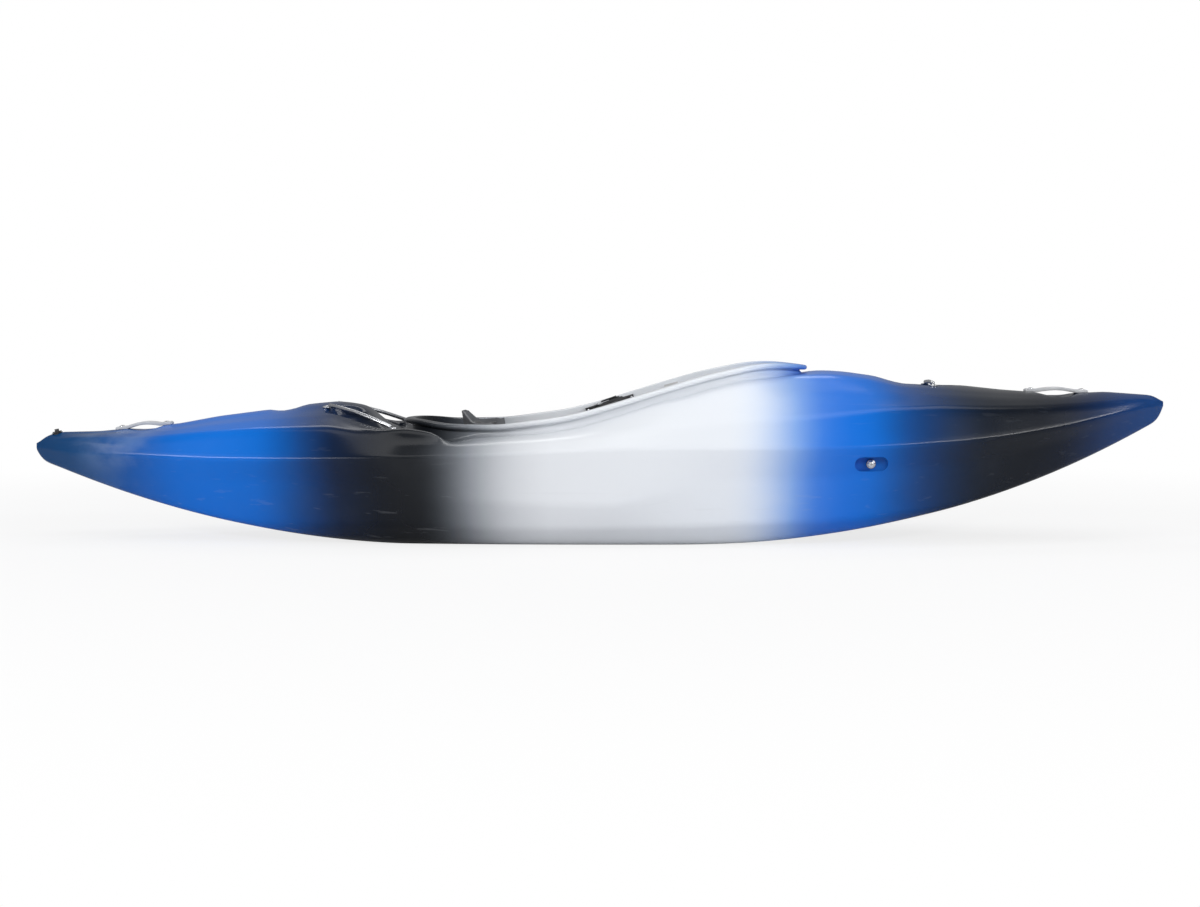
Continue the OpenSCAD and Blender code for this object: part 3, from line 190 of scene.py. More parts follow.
def finish(name, shade_a, shade_b, rough, patch=8.0, grain=400.0, bump=0.05, depth=0.0004, metallic=0.0):
    material = bpy.data.materials.new(name)
    material.use_nodes = True
    nodes = material.node_tree.nodes
    links = material.node_tree.links
    shader = nodes["Principled BSDF"]
    look = nodes.new("ShaderNodeGroup")
    look.node_tree = mottle
    look.inputs["Shade A"].default_value = (*shade_a, 1)
    look.inputs["Shade B"].default_value = (*shade_b, 1)
    look.inputs["Patch Scale"].default_value = patch
    look.inputs["Grain Scale"].default_value = grain
    look.inputs["Rough Low"].default_value = rough[0]
    look.inputs["Rough High"].default_value = rough[1]
    relief = nodes.new("ShaderNodeBump")
    relief.inputs["Strength"].default_value = bump
    relief.inputs["Distance"].default_value = depth
    links.new(look.outputs["Color"], shader.inputs["Base Color"])
    links.new(look.outputs["Roughness"], shader.inputs["Roughness"])
    links.new(look.outputs["Height"], relief.inputs["Height"])
    links.new(relief.outputs["Normal"], shader.inputs["Normal"])
    shader.inputs["Metallic"].default_value = metallic
    return material


# Hull: one rotationally moulded shell of polyethylene, six millimetres thick, open at the cockpit.
# Its lines are drawn in millimetres, by station along the hull, and the mesh is made in metres.
MM = 0.001
wall = 6
half_length = 1300
half_beam = 330
bottom_share = [(-1300, 0.55), (-1000, 0.6), (-800, 0.66), (-400, 0.7), (0, 0.71), (400, 0.72), (800, 0.68),
                (1100, 0.6), (1300, 0.55)]
bottom_rise = [(-1300, 3), (-800, 5), (-450, 0), (330, 0), (700, 5), (1300, 3)]
crease_share = [(-1300, 0.7), (-1000, 0.68), (-800, 0.72), (-500, 0.83), (0, 0.875), (420, 0.87), (650, 0.79),
                (800, 0.74), (1100, 0.68), (1300, 0.7)]
crease_rise = [(-1300, 4), (-1200, 10), (-820, 12), (-500, 45), (-200, 40), (150, 46), (300, 49), (420, 45),
               (570, 31), (650, 27), (780, 13), (1200, 10), (1300, 4)]
step_share = [(-1300, 0.95), (-1150, 0.93), (-1040, 0.87), (-800, 0.86), (-500, 0.9), (-200, 0.965),
              (100, 0.97), (250, 0.93), (500, 0.89), (700, 0.86), (1000, 0.82), (1150, 0.84), (1300, 0.95)]
step_height = [(-1300, 204), (-1200, 180), (-1043, 156), (-985, 142), (-880, 139), (-650, 140), (-536, 136),
               (-414, 116), (-300, 105), (-190, 98), (40, 94), (150, 124), (240, 148), (400, 150), (486, 149),
               (582, 158), (694, 169), (809, 180), (926, 199), (1047, 223), (1139, 249), (1230, 281),
               (1300, 301)]
ridge_height = [(-1300, 206), (-1220, 196), (-1140, 190), (-1040, 192), (-960, 190), (-876, 188), (-732, 189),
                (-596, 192), (-248, 205), (-31, 216), (77, 219), (348, 218), (583, 218), (691, 222),
                (805, 228), (923, 240), (1044, 258), (1150, 278), (1240, 296), (1300, 303)]
seam_share = [(-1300, 0.88), (-600, 0.86), (-400, 0.87), (-300, 0.9), (200, 0.9), (420, 0.87), (1300, 0.86)]
seam_height = [(-1300, 208), (-1270, 220), (-1194, 230), (-1044, 230), (-881, 247), (-765, 256), (-594, 261),
               (-482, 241), (-439, 229), (-397, 227), (-280, 226), (-43, 240), (28, 250), (133, 262),
               (245, 270), (417, 281), (499, 285), (554, 291), (640, 301), (753, 305), (869, 302), (988, 303),
               (1110, 308), (1191, 314), (1250, 317), (1285, 312), (1300, 305)]
edge_width = [(-1300, 2), (-1200, 18), (-1000, 45), (-700, 82), (-520, 100), (-424, 120), (-345, 195),
              (-230, 225), (50, 225), (240, 190), (400, 130), (453, 112), (600, 104), (800, 85), (1000, 60),
              (1200, 28), (1300, 2)]
edge_height = [(-1300, 210), (-1277, 227), (-1247, 236), (-1154, 238), (-969, 253), (-877, 268), (-753, 283),
               (-676, 291), (-600, 298), (-560, 295), (-521, 280), (-490, 256), (-448, 238), (-400, 222),
               (-375, 219), (-336, 222), (-280, 237), (-219, 241), (-129, 247), (-43, 262), (28, 284),
               (133, 319), (187, 330), (245, 348), (325, 366), (421, 373), (480, 374), (528, 374), (602, 366),
               (680, 348), (778, 344), (926, 331), (1046, 327), (1164, 328), (1250, 325), (1285, 317),
               (1300, 307)]
deck_height = [(-1300, 212), (-1277, 231), (-1247, 240), (-1154, 242), (-969, 260), (-877, 277), (-753, 293),
               (-743, 287), (-703, 294), (-676, 304), (-637, 308), (-601, 311), (-570, 308), (-540, 303),
               (-521, 292), (-499, 264), (-473, 252), (-448, 243), (-400, 226), (-336, 226), (-280, 239),
               (-219, 243), (-129, 249), (-43, 264), (28, 286), (133, 321), (187, 332), (245, 350), (325, 368),
               (421, 375), (466, 377), (490, 382), (528, 382), (567, 379), (602, 374), (632, 370), (678, 356),
               (705, 352), (778, 352), (833, 348), (926, 338), (981, 334), (1121, 331), (1164, 333),
               (1274, 325), (1296, 313), (1300, 308)]
rim_height = [(-448, 276), (-387, 274), (-359, 269), (-330, 266), (-219, 266), (-85, 284), (-25, 298),
              (49, 320), (118, 342), (231, 376), (330, 398), (370, 402), (397, 402), (449, 397), (477, 392)]
shoulder_inset = 18
shoulder_height = [(-560, 262), (-486, 257), (-425, 263), (-380, 257), (-350, 249), (-325, 238)]
shoulder_weight = [(-600, 0), (-520, 1), (-360, 1), (-322, 0)]
corner_radius = [22, 12, 12, 7, 14, 16, 16, 30]
corner_steps = 5
span_steps = [8, 3, 5, 5, 5, 16, 18, 10, 5]


def at(line, x, soften=18):
    """Height or share at a station, softened over a few millimetres to each side."""
    offsets = np.linspace(-2, 2, 9)
    weights = np.exp(-offsets ** 2 / 2)
    xs, values = zip(*line)
    return float(np.dot(np.interp(x + offsets * soften, xs, values), weights) / weights.sum())


def ridge_y(x):
    fore = x > -20
    t = (x + 20) / (half_length + 20) if fore else (-20 - x) / (half_length - 20)
    return max(3, half_beam * max(0, 1 - t ** (2.3 if fore else 2)) ** (0.85 if fore else 0.9))


def keel_z(x):
    if x > 150:
        return 272 * ((x - 150) / 1150) ** 2.27 + 26 * max(0, (x - 1260) / 40) ** 4
    if x < -415:
        return 179 * ((-415 - x) / 885) ** 2 + 20 * max(0, (-x - 1265) / 35) ** 3
    return 0


cockpit_x = -60
cockpit_fore = 877 * 0.585
cockpit_aft = 877 - cockpit_fore
cockpit_half = 223
cockpit_power = 2.3


def opening_y(x):
    t = abs(x - cockpit_x) / (cockpit_fore if x > cockpit_x else cockpit_aft)
    return 0 if t >= 1 else cockpit_half * (1 - t ** cockpit_power) ** (1 / cockpit_power)


def opening_point(angle, out):
    c = math.copysign(abs(math.cos(angle)) ** (2 / cockpit_power), math.cos(angle))
    s = math.copysign(abs(math.sin(angle)) ** (2 / cockpit_power), math.sin(angle))
    return cockpit_x + ((cockpit_fore if c > 0 else cockpit_aft) + out) * c, (cockpit_half + out) * s


def section_keys(x):
    widest = ridge_y(x)
    keel = keel_z(x)
    seam = np.array([widest * at(seam_share, x), at(seam_height, x)])
    edge = np.array([min(seam[0] * 0.86, max(at(edge_width, x), opening_y(x) + wall + 4)),
                     at(edge_height, x, 11)])
    plain = (seam + edge) / 2 + np.array([0, 0.03 * (seam[0] - edge[0])])
    weight = at(shoulder_weight, x, 6)
    raised = np.array([seam[0] - shoulder_inset, at(shoulder_height, x, 6)])
    top = at(deck_height, x, 8)
    return [np.array([0, keel]),
            np.array([widest * at(bottom_share, x), keel + at(bottom_rise, x)]),
            np.array([widest * at(crease_share, x), keel + at(crease_rise, x)]),
            np.array([widest * at(step_share, x), at(step_height, x)]),
            np.array([widest, at(ridge_height, x)]),
            seam, plain * (1 - weight) + raised * weight, edge,
            np.array([edge[0] / 2, edge[1] + (top - edge[1]) * 0.78]),
            np.array([0, top])]


def half_section(keys):
    """Half a section with round corners, from the keel to the middle of the deck."""
    points = []
    start = keys[0]
    for i in range(1, len(keys)):
        if i < len(keys) - 1:
            a, b, c = keys[i - 1], keys[i], keys[i + 1]
            r = corner_radius[i - 1]
            p = b + (a - b) * min(0.42, r / max(np.linalg.norm(a - b), 0.01))
            q = b + (c - b) * min(0.42, r / max(np.linalg.norm(c - b), 0.01))
        else:
            p = keys[i]
        for t in range(span_steps[i - 1]):
            points.append(start + (p - start) * t / span_steps[i - 1])
        if i < len(keys) - 1:
            for t in np.linspace(0, 1, corner_steps, endpoint=False):
                points.append((1 - t) ** 2 * p + 2 * t * (1 - t) * b + t * t * q)
            start = q
    points.append(keys[-1])
    return np.array(points)


def inner_keys(x):
    keys = section_keys(x)
    moved = [keys[0] + np.array([0, wall])]
    for a, b, c in zip(keys, keys[1:], keys[2:]):
        m = (b - a)[::-1] * [-1, 1] / max(np.linalg.norm(b - a), 0.01)
        n = (c - b)[::-1] * [-1, 1] / max(np.linalg.norm(c - b), 0.01)
        p = b + (m + n) * wall / max(0.5, 1 + float(m @ n))
        moved.append(np.array([max(0.5, p[0]), p[1]]))
    moved.append(keys[-1] - np.array([0, wall]))
    return moved


# Hollows are pressed into the skin: each is an egg of (place, radii), and a stretched one is a row of eggs
rear_well = [((-566, 104, 292), (50, 42, 38)), ((-492, 148, 268), (40, 36, 30))]
eggs = []
for side in (-1, 1):
    for t in np.linspace(0, 1, 7):
        place = np.array(rear_well[0][0]) * (1 - t) + np.array(rear_well[1][0]) * t
        radii = np.array(rear_well[0][1]) * (1 - t) + np.array(rear_well[1][1]) * t
        eggs.append((place * [1, side, 1], radii))
front_well_x = 760
bow_scoop_x = 1052
stern_scoop_x = -1050
eggs.append((np.array([front_well_x, 0, at(deck_height, front_well_x, 8)]), np.array([56, 46, 30])))
eggs.append((np.array([bow_scoop_x, 0, at(deck_height, bow_scoop_x, 8) + 1]), np.array([44.5, 92, 14])))
eggs.append((np.array([stern_scoop_x, 0, at(deck_height, stern_scoop_x, 8) + 1]), np.array([37.5, 70, 9])))


def pressed(grid, grow):
    """Moves the skin inwards until it lies on the egg's far side, with a soft lip."""
    along = np.gradient(grid, axis=0)
    around = np.roll(grid, -1, axis=1) - np.roll(grid, 1, axis=1)
    normal = np.cross(along, around)
    normal /= np.maximum(np.linalg.norm(normal, axis=2, keepdims=True), 1e-9)
    middle = grid.mean(axis=1, keepdims=True)
    normal *= -np.sign(np.sum(normal * (middle - grid), axis=2, keepdims=True) + 1e-9)
    depth = np.zeros(grid.shape[:2])
    for place, radii in eggs:
        size = radii + grow
        p = (grid - place) / size
        d = -normal / size
        a = np.sum(d * d, axis=2)
        b = np.sum(p * d, axis=2)
        c = np.sum(p * p, axis=2) - 1
        inside = c < 0
        reach = (-b + np.sqrt(np.maximum(b * b - a * c, 0))) / a
        depth = np.maximum(depth, np.where(inside, reach, 0))
    for _ in range(4):
        depth = (depth * 4 + np.roll(depth, 1, 0) + np.roll(depth, -1, 0) + np.roll(depth, 1, 1)
                 + np.roll(depth, -1, 1)) / 8
    return grid - normal * depth[..., None]


def stations(coarse, dense):
    xs = list(np.arange(-1180, 1181, coarse))
    for low, high, step in dense:
        xs = [x for x in xs if not low < x < high] + list(np.arange(low, high + 0.1, step))
    ends = half_length - 120 * (1 - np.sin(np.linspace(0.06, math.pi / 2, 16)))
    return sorted(set(np.round(xs + list(ends) + list(-ends), 2)))


def loft(name, xs, keys_at, grow):
    rows = []
    for x in xs:
        half = half_section(keys_at(x))
        ring = np.vstack([half, half[-2:0:-1] * [-1, 1]])
        rows.append(np.column_stack([np.full(len(ring), x), ring]))
    grid = pressed(np.array(rows), grow) * MM
    n = grid.shape[1]
    last = (len(xs) - 1) * n
    quads = [(i * n + j, i * n + (j + 1) % n, (i + 1) * n + (j + 1) % n, (i + 1) * n + j)
             for i in range(len(xs) - 1) for j in range(n)]
    caps = [tuple(range(n - 1, -1, -1)), tuple(last + j for j in range(n))]
    mesh = bpy.data.meshes.new(name)
    mesh.from_pydata(grid.reshape(-1, 3).tolist(), [], quads + caps)
    shape = bmesh.new()
    shape.from_mesh(mesh)
    bmesh.ops.recalc_face_normals(shape, faces=shape.faces)
    shape.to_mesh(mesh)
    shape.free()
    piece = bpy.data.objects.new(name, mesh)
    bpy.context.collection.objects.link(piece)
    return piece


def combine(piece, other, operation):
    """Joins or cuts by another closed shape, which is then deleted."""
    modifier = piece.modifiers.new(operation, "BOOLEAN")
    modifier.operation = operation
    modifier.object = other
    modifier.solver = "MANIFOLD"
    bpy.context.view_layer.objects.active = piece
    bpy.ops.object.modifier_apply(modifier=modifier.name)
    bpy.data.objects.remove(other, do_unlink=True)


def ring_sweep(name, profile_at, steps):
    """Sweeps a closed profile of (out, height) round the cockpit."""
    points = []
    for i in range(steps):
        angle = 2 * math.pi * i / steps
        profile = profile_at(angle)
        for out, z in profile:
            points.append((*opening_point(angle, out), z))
    n = len(profile)
    quads = [(i * n + j, i * n + (j + 1) % n, (i + 1) % steps * n + (j + 1) % n, (i + 1) % steps * n + j)
             for i in range(steps) for j in range(n)]
    mesh = bpy.data.meshes.new(name)
    mesh.from_pydata((np.array(points) * MM).tolist(), [], quads)
    shape = bmesh.new()
    shape.from_mesh(mesh)
    bmesh.ops.recalc_face_normals(shape, faces=shape.faces)
    shape.to_mesh(mesh)
    shape.free()
    piece = bpy.data.objects.new(name, mesh)
    bpy.context.collection.objects.link(piece)
    return piece


def deck_z(x, y):
    """Height of the deck over a point, from the section there."""
    half = half_section(section_keys(x))[-1:36:-1]
    return float(np.interp(abs(y), half[:, 0], half[:, 1]))


rim_lip = 24
rim_edge = 12
fillet = 11


def rim_profile(angle):
    x, y = opening_point(angle, 0)
    foot_x, foot_y = opening_point(angle, wall + fillet)
    top = at(rim_height, x)
    deck = deck_z(foot_x, foot_y) - 0.8
    low = min(at(edge_height, x, 11), deck) - wall - 2
    points = [(0, low), (wall + fillet, min(low, deck - 3)), (wall + fillet + 0.5, deck)]
    for t in np.linspace(270, 180, 6)[1:]:
        a = math.radians(t)
        points.append((wall + fillet + fillet * math.cos(a), deck + fillet + fillet * math.sin(a)))
    points.append((wall, top - rim_edge - 2))
    points.append((wall + 2, top - rim_edge))
    for t in np.linspace(-90, 90, 9):
        a = math.radians(t)
        points.append((rim_lip - 6 + 6 * math.cos(a), top - rim_edge / 2 - 0.4 + 5.6 * math.sin(a)))
    points += [(12, top), (4, top - 0.1), (1.6, top - 0.8), (0.4, top - 2.2), (0, top - 4)]
    return points


side_bolt = (596, 181)
side_face_y = 248.547 - 10
slot_size = (75, 32)


def slot_cutter(grow):
    """A slot with round ends, sunk into both flanks."""
    x, z = side_bolt
    radius = slot_size[1] / 2 + grow
    pieces = []
    for side in (-1, 1):
        y = side * (side_face_y - grow + 30)
        for s in (-1, 1):
            bpy.ops.mesh.primitive_cylinder_add(vertices=48, radius=radius * MM, depth=60 * MM,
                location=((x + s * (slot_size[0] - slot_size[1]) / 2) * MM, y * MM, z * MM),
                rotation=(math.pi / 2, 0, 0))
            pieces.append(bpy.context.object)
        bpy.ops.mesh.primitive_cube_add(size=1, location=(x * MM, y * MM, z * MM))
        bpy.context.object.scale = ((slot_size[0] - slot_size[1]) * MM, 60 * MM, 2 * radius * MM)
        pieces.append(bpy.context.object)
    bpy.ops.object.select_all(action="DESELECT")
    for piece in pieces:
        piece.select_set(True)
        bpy.context.view_layer.objects.active = piece
        bpy.ops.object.transform_apply(location=True, rotation=True, scale=True)
        piece.select_set(False)
    whole = pieces[0]
    for piece in pieces[1:]:
        combine(whole, piece, "UNION")
    return whole


hull = loft("hull", stations(15, [(-645, -435, 4.2), (-1105, -1000, 6), (695, 825, 6), (1000, 1110, 6)]),
            section_keys, 0)
combine(hull, slot_cutter(0), "DIFFERENCE")
cavity_xs = [x for x in stations(26, [(-645, -435, 13)]) if abs(x) < half_length - 28]
cavity = loft("cavity", cavity_xs, inner_keys, wall)
combine(cavity, slot_cutter(wall), "DIFFERENCE")
combine(hull, cavity, "DIFFERENCE")
prism_low = 180
prism_high = 470
outline = [opening_point(2 * math.pi * (i + 0.5) / 144, 2.5) for i in range(144)]
mesh = bpy.data.meshes.new("prism")
mesh.from_pydata([(x * MM, y * MM, z * MM) for z in (prism_low, prism_high) for x, y in outline], [],
                 [tuple(range(143, -1, -1)), tuple(range(144, 288))]
                 + [(i, (i + 1) % 144, 144 + (i + 1) % 144, 144 + i) for i in range(144)])
prism = bpy.data.objects.new("prism", mesh)
bpy.context.collection.objects.link(prism)
combine(hull, prism, "DIFFERENCE")
combine(hull, ring_sweep("rim", rim_profile, 144), "UNION")
bpy.ops.object.select_all(action="DESELECT")
hull.select_set(True)
bpy.context.view_layer.objects.active = hull
bpy.ops.object.shade_smooth_by_angle(angle=math.radians(28))
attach(hull, "hull")
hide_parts("hull_shell")

# The colours run into each other along the hull, where the powders met in the mould: (station in metres, colour)
navy = (0.004, 0.055, 0.17)
bright_blue = (0.0, 0.15, 0.64)
deep_blue = (0.0, 0.05, 0.22)
ink = (0.001, 0.003, 0.007)
pale = (0.76, 0.78, 0.81)
bands = [(-1.3, (0.003, 0.04, 0.13)), (-1.16, navy), (-1.03, (0.003, 0.09, 0.4)), (-0.93, bright_blue),
         (-0.76, bright_blue), (-0.67, deep_blue), (-0.58, ink), (-0.40, (0.003, 0.004, 0.006)),
         (-0.34, (0.03, 0.035, 0.043)), (-0.275, (0.25, 0.27, 0.3)), (-0.2, (0.62, 0.64, 0.67)),
         (-0.11, pale), (0.28, (0.76, 0.79, 0.83)), (0.35, (0.7, 0.76, 0.86)), (0.42, (0.2, 0.38, 0.75)),
         (0.49, (0.01, 0.15, 0.66)), (0.6, bright_blue), (0.68, deep_blue), (0.78, (0.005, 0.018, 0.05)),
         (0.87, ink), (1.04, ink), (1.13, (0.001, 0.014, 0.06)), (1.21, (0.0, 0.033, 0.15)),
         (1.3, (0.0, 0.04, 0.17))]
hull_mat = finish("hull_plastic", bright_blue, bright_blue, (0.17, 0.27), patch=3.0, grain=900.0, bump=0.05,
                  depth=0.0002)
nodes = hull_mat.node_tree.nodes
links = hull_mat.node_tree.links
shader = nodes["Principled BSDF"]
shader.inputs["Specular IOR Level"].default_value = 0.24
look = next(node for node in nodes if node.type == "GROUP")
place = nodes.new("ShaderNodeTexCoord")
split = nodes.new("ShaderNodeSeparateXYZ")
links.new(place.outputs["Object"], split.inputs["Vector"])


def noise(scale, detail, stretch=(1, 1, 1)):
    mapping = nodes.new("ShaderNodeMapping")
    mapping.inputs["Scale"].default_value = stretch
    texture = nodes.new("ShaderNodeTexNoise")
    texture.inputs["Scale"].default_value = scale
    texture.inputs["Detail"].default_value = detail
    links.new(place.outputs["Object"], mapping.inputs["Vector"])
    links.new(mapping.outputs["Vector"], texture.inputs["Vector"])
    return texture.outputs["Fac"]


def sums(operation, a, b):
    node = nodes.new("ShaderNodeMath")
    node.operation = operation
    for socket, value in zip(node.inputs, (a, b)):
        if isinstance(value, (int, float)):
            socket.default_value = value
        else:
            links.new(value, socket)
    return node.outputs["Value"]


def ramp(value, low, high, smooth=True):
    node = nodes.new("ShaderNodeMapRange")
    node.interpolation_type = "SMOOTHSTEP" if smooth else "LINEAR"
    node.inputs["From Min"].default_value = low
    node.inputs["From Max"].default_value = high
    links.new(value, node.inputs["Value"])
    return node.outputs["Result"]


def tinted(mask, base, colour, mode="MIX"):
    node = nodes.new("ShaderNodeMix")
    node.data_type = "RGBA"
    node.blend_type = mode
    links.new(mask, node.inputs["Factor"])
    links.new(base, node.inputs["A"])
    node.inputs["B"].default_value = (*colour, 1)
    return node.outputs["Result"]


drift = sums("MULTIPLY", sums("SUBTRACT", noise(2.6, 4, (1, 1, 1.4)), 0.5), 0.06)
station = ramp(sums("ADD", split.outputs["X"], drift), -1.3, 1.3, smooth=False)
band = nodes.new("ShaderNodeValToRGB")
band.color_ramp.interpolation = "B_SPLINE"
stops = band.color_ramp.elements
stops[0].position = 0
stops[0].color = (*bands[0][1], 1)
stops[1].position = 1
stops[1].color = (*bands[-1][1], 1)
for x, colour in bands[1:-1]:
    stops.new((x + 1.3) / 2.6).color = (*colour, 1)
links.new(station, band.inputs["Fac"])
colour = band.outputs["Color"]
# Soft clouds in the skin, fine scratches along the bottom and flanks, and a lighter haze painted on the stern
# quarter
cloud = sums("MULTIPLY", ramp(noise(7, 5), 0.4, 0.85), 0.014)
colour = tinted(cloud, colour, (0.5, 0.53, 0.58))
low_down = ramp(split.outputs["Z"], 0.2, 0.02)
scratches = sums("MULTIPLY", ramp(noise(26, 4, (0.12, 2.2, 3.0)), 0.63, 0.7), 0.075)
colour = tinted(sums("MULTIPLY", scratches, sums("ADD", sums("MULTIPLY", low_down, 0.9), 0.25)), colour,
                (0.42, 0.44, 0.47))
# The stern haze: a lighter, cloudy patch over the stern quarter, strongest between the ridge and the deck edge
stern_haze = sums("MULTIPLY", ramp(split.outputs["X"], -1.22, -1.12), ramp(split.outputs["X"], -0.97, -1.06))
stern_haze = sums("MULTIPLY", sums("MULTIPLY", stern_haze, ramp(noise(9, 6, (1, 1, 1.6)), 0.38, 0.66)), 0.34)
stern_haze = sums("MULTIPLY", stern_haze, sums("ADD", sums("MULTIPLY", ramp(split.outputs["Z"], 0.14, 0.2), 0.75), 0.25))
colour = tinted(stern_haze, colour, (0.22, 0.32, 0.5))
links.new(colour, look.inputs["Shade A"])
# Shade B turns slightly darker towards the bottom
darker = tinted(sums("MULTIPLY", low_down, 0.04), colour, (0.08, 0.1, 0.13))
links.new(darker, look.inputs["Shade B"])
hull.data.materials.clear()
hull.data.materials.append(hull_mat)
hull.data.polygons.foreach_set("material_index", [0] * len(hull.data.polygons))


# Drain plug at the stern: a nylon bush in the deck and a rubber bung with a pull tab.
# Small hardware keeps its own lines here, with every sharp edge broken as the moulder or the lathe leaves it.
def refined(node, material, body, bevel=0.6, segments=2, crease=35, smooth=38, trim=None):
    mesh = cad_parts[node].data.copy()
    mesh.materials.clear()
    piece = bpy.data.objects.new(node + "_finished", mesh)
    bpy.context.collection.objects.link(piece)
    shape = bmesh.new()
    shape.from_mesh(mesh)
    bmesh.ops.remove_doubles(shape, verts=shape.verts, dist=0.00002)
    bmesh.ops.dissolve_limit(shape, angle_limit=math.radians(1.5), verts=shape.verts, edges=shape.edges)
    for edge in shape.edges:
        edge.smooth = True
    shape.to_mesh(mesh)
    shape.free()
    bpy.ops.object.select_all(action="DESELECT")
    piece.select_set(True)
    bpy.context.view_layer.objects.active = piece
    if mesh.has_custom_normals:
        bpy.ops.mesh.customdata_custom_splitnormals_clear()
    if trim:
        combine(piece, trim, "DIFFERENCE")
        piece.data.materials.clear()
        piece.data.polygons.foreach_set("material_index", [0] * len(piece.data.polygons))
    if bevel:
        modifier = piece.modifiers.new("bevel", "BEVEL")
        modifier.width = bevel * MM
        modifier.segments = segments
        modifier.limit_method = "ANGLE"
        modifier.angle_limit = math.radians(crease)
        modifier.use_clamp_overlap = True
        modifier.harden_normals = False
        bpy.ops.object.modifier_apply(modifier=modifier.name)
    bpy.ops.object.shade_smooth_by_angle(angle=math.radians(smooth))
    piece.data.materials.append(material)
    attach(piece, body)
    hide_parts(node)
    return piece


rubber = finish("rubber", (0.018, 0.018, 0.02), (0.03, 0.03, 0.032), (0.5, 0.72), patch=60, grain=1500, bump=0.2)
black_nylon = finish("black_nylon", (0.016, 0.016, 0.018), (0.026, 0.026, 0.028), (0.3, 0.48), patch=40,
                     grain=1200, bump=0.15, depth=0.0003)
refined("drain_plug_seat", black_nylon, "hull", bevel=0.5)
refined("drain_plug", rubber, "drain_plug", bevel=0.8, segments=3)

# Grab handles: two arched straps of pale moulded plastic, each bolted through the deck over its scoop.
# The domed stainless heads stand on the feet, with nuts and washers under the deck.
pale_plastic = finish("handle_plastic", (0.60, 0.61, 0.62), (0.5, 0.51, 0.53), (0.32, 0.5), patch=30,
                      grain=900, bump=0.12)
stainless = finish("stainless", (0.62, 0.63, 0.65), (0.5, 0.51, 0.53), (0.16, 0.34), patch=120, grain=2500,
                   bump=0.08, depth=0.0001, metallic=1.0)
for node in ("bow_grab_handle", "stern_grab_handle"):
    strap = refined(node, pale_plastic, "hull", bevel=1.8, segments=4)
    swell = strap.modifiers.new("swell", "DISPLACE")
    swell.strength = 1.3 * MM
    swell.mid_level = 0
    bpy.ops.object.modifier_apply(modifier=swell.name)
refined("grab_handle_bolts", stainless, "hull", bevel=0.35, segments=2)

# Security bars: round aluminium bars over the rear wells and the front well, screwed down through flat feet.
# They are drawn bar, satin, with fine lines and a few dull marks.
aluminium = finish("aluminium_bar", (0.62, 0.63, 0.65), (0.5, 0.51, 0.53), (0.2, 0.36), patch=50, grain=1800,
                   bump=0.1, depth=0.0002, metallic=1.0)
for node in ("rear_security_bar_right", "rear_security_bar_left", "front_security_bar"):
    refined(node, aluminium, "hull", bevel=0.4, crease=50, smooth=50)
refined("security_bar_screws", stainless, "hull", bevel=0.3)

# Foam pillars: slabs of closed-cell foam that stand under the deck at bow and stern.
# They are cut from sheet, so their faces show the cells and their edges are slightly soft.
foam = finish("closed_cell_foam", (0.03, 0.03, 0.033), (0.055, 0.055, 0.06), (0.75, 0.95), patch=90,
              grain=520, bump=0.6, depth=0.0012)
for node in ("bow_foam_pillar", "stern_foam_pillar"):
    refined(node, foam, "hull", bevel=1.5, segments=3)

# Footbrace: two aluminium rails on domed bolts with rubber seals, and a plastic plate that slides on them.
# A red lever at each side drops its tooth in the rail, and the plate carries a foam pad.
moulded_black = finish("outfitting_plastic", (0.02, 0.02, 0.023), (0.034, 0.034, 0.038), (0.38, 0.58), patch=22,
                       grain=760, bump=0.22, depth=0.0005)
red_plastic = finish("lock_plastic", (0.5, 0.02, 0.012), (0.38, 0.014, 0.01), (0.26, 0.42), patch=60,
                     grain=1000, bump=0.08)
for side in ("right", "left"):
    refined("footbrace_rail_" + side, aluminium, "hull", bevel=0.4)
    refined("footbrace_lock_" + side, red_plastic, "footbrace_lock_" + side, bevel=0.6)
refined("footbrace_bolts", stainless, "hull", bevel=0.35, segments=2)
refined("footbrace_bolt_seals", rubber, "hull", bevel=0.3)
refined("foot_plate", moulded_black, "footbrace", bevel=1.2, segments=3)
refined("footbrace_lock_pins", stainless, "footbrace", bevel=0.3)


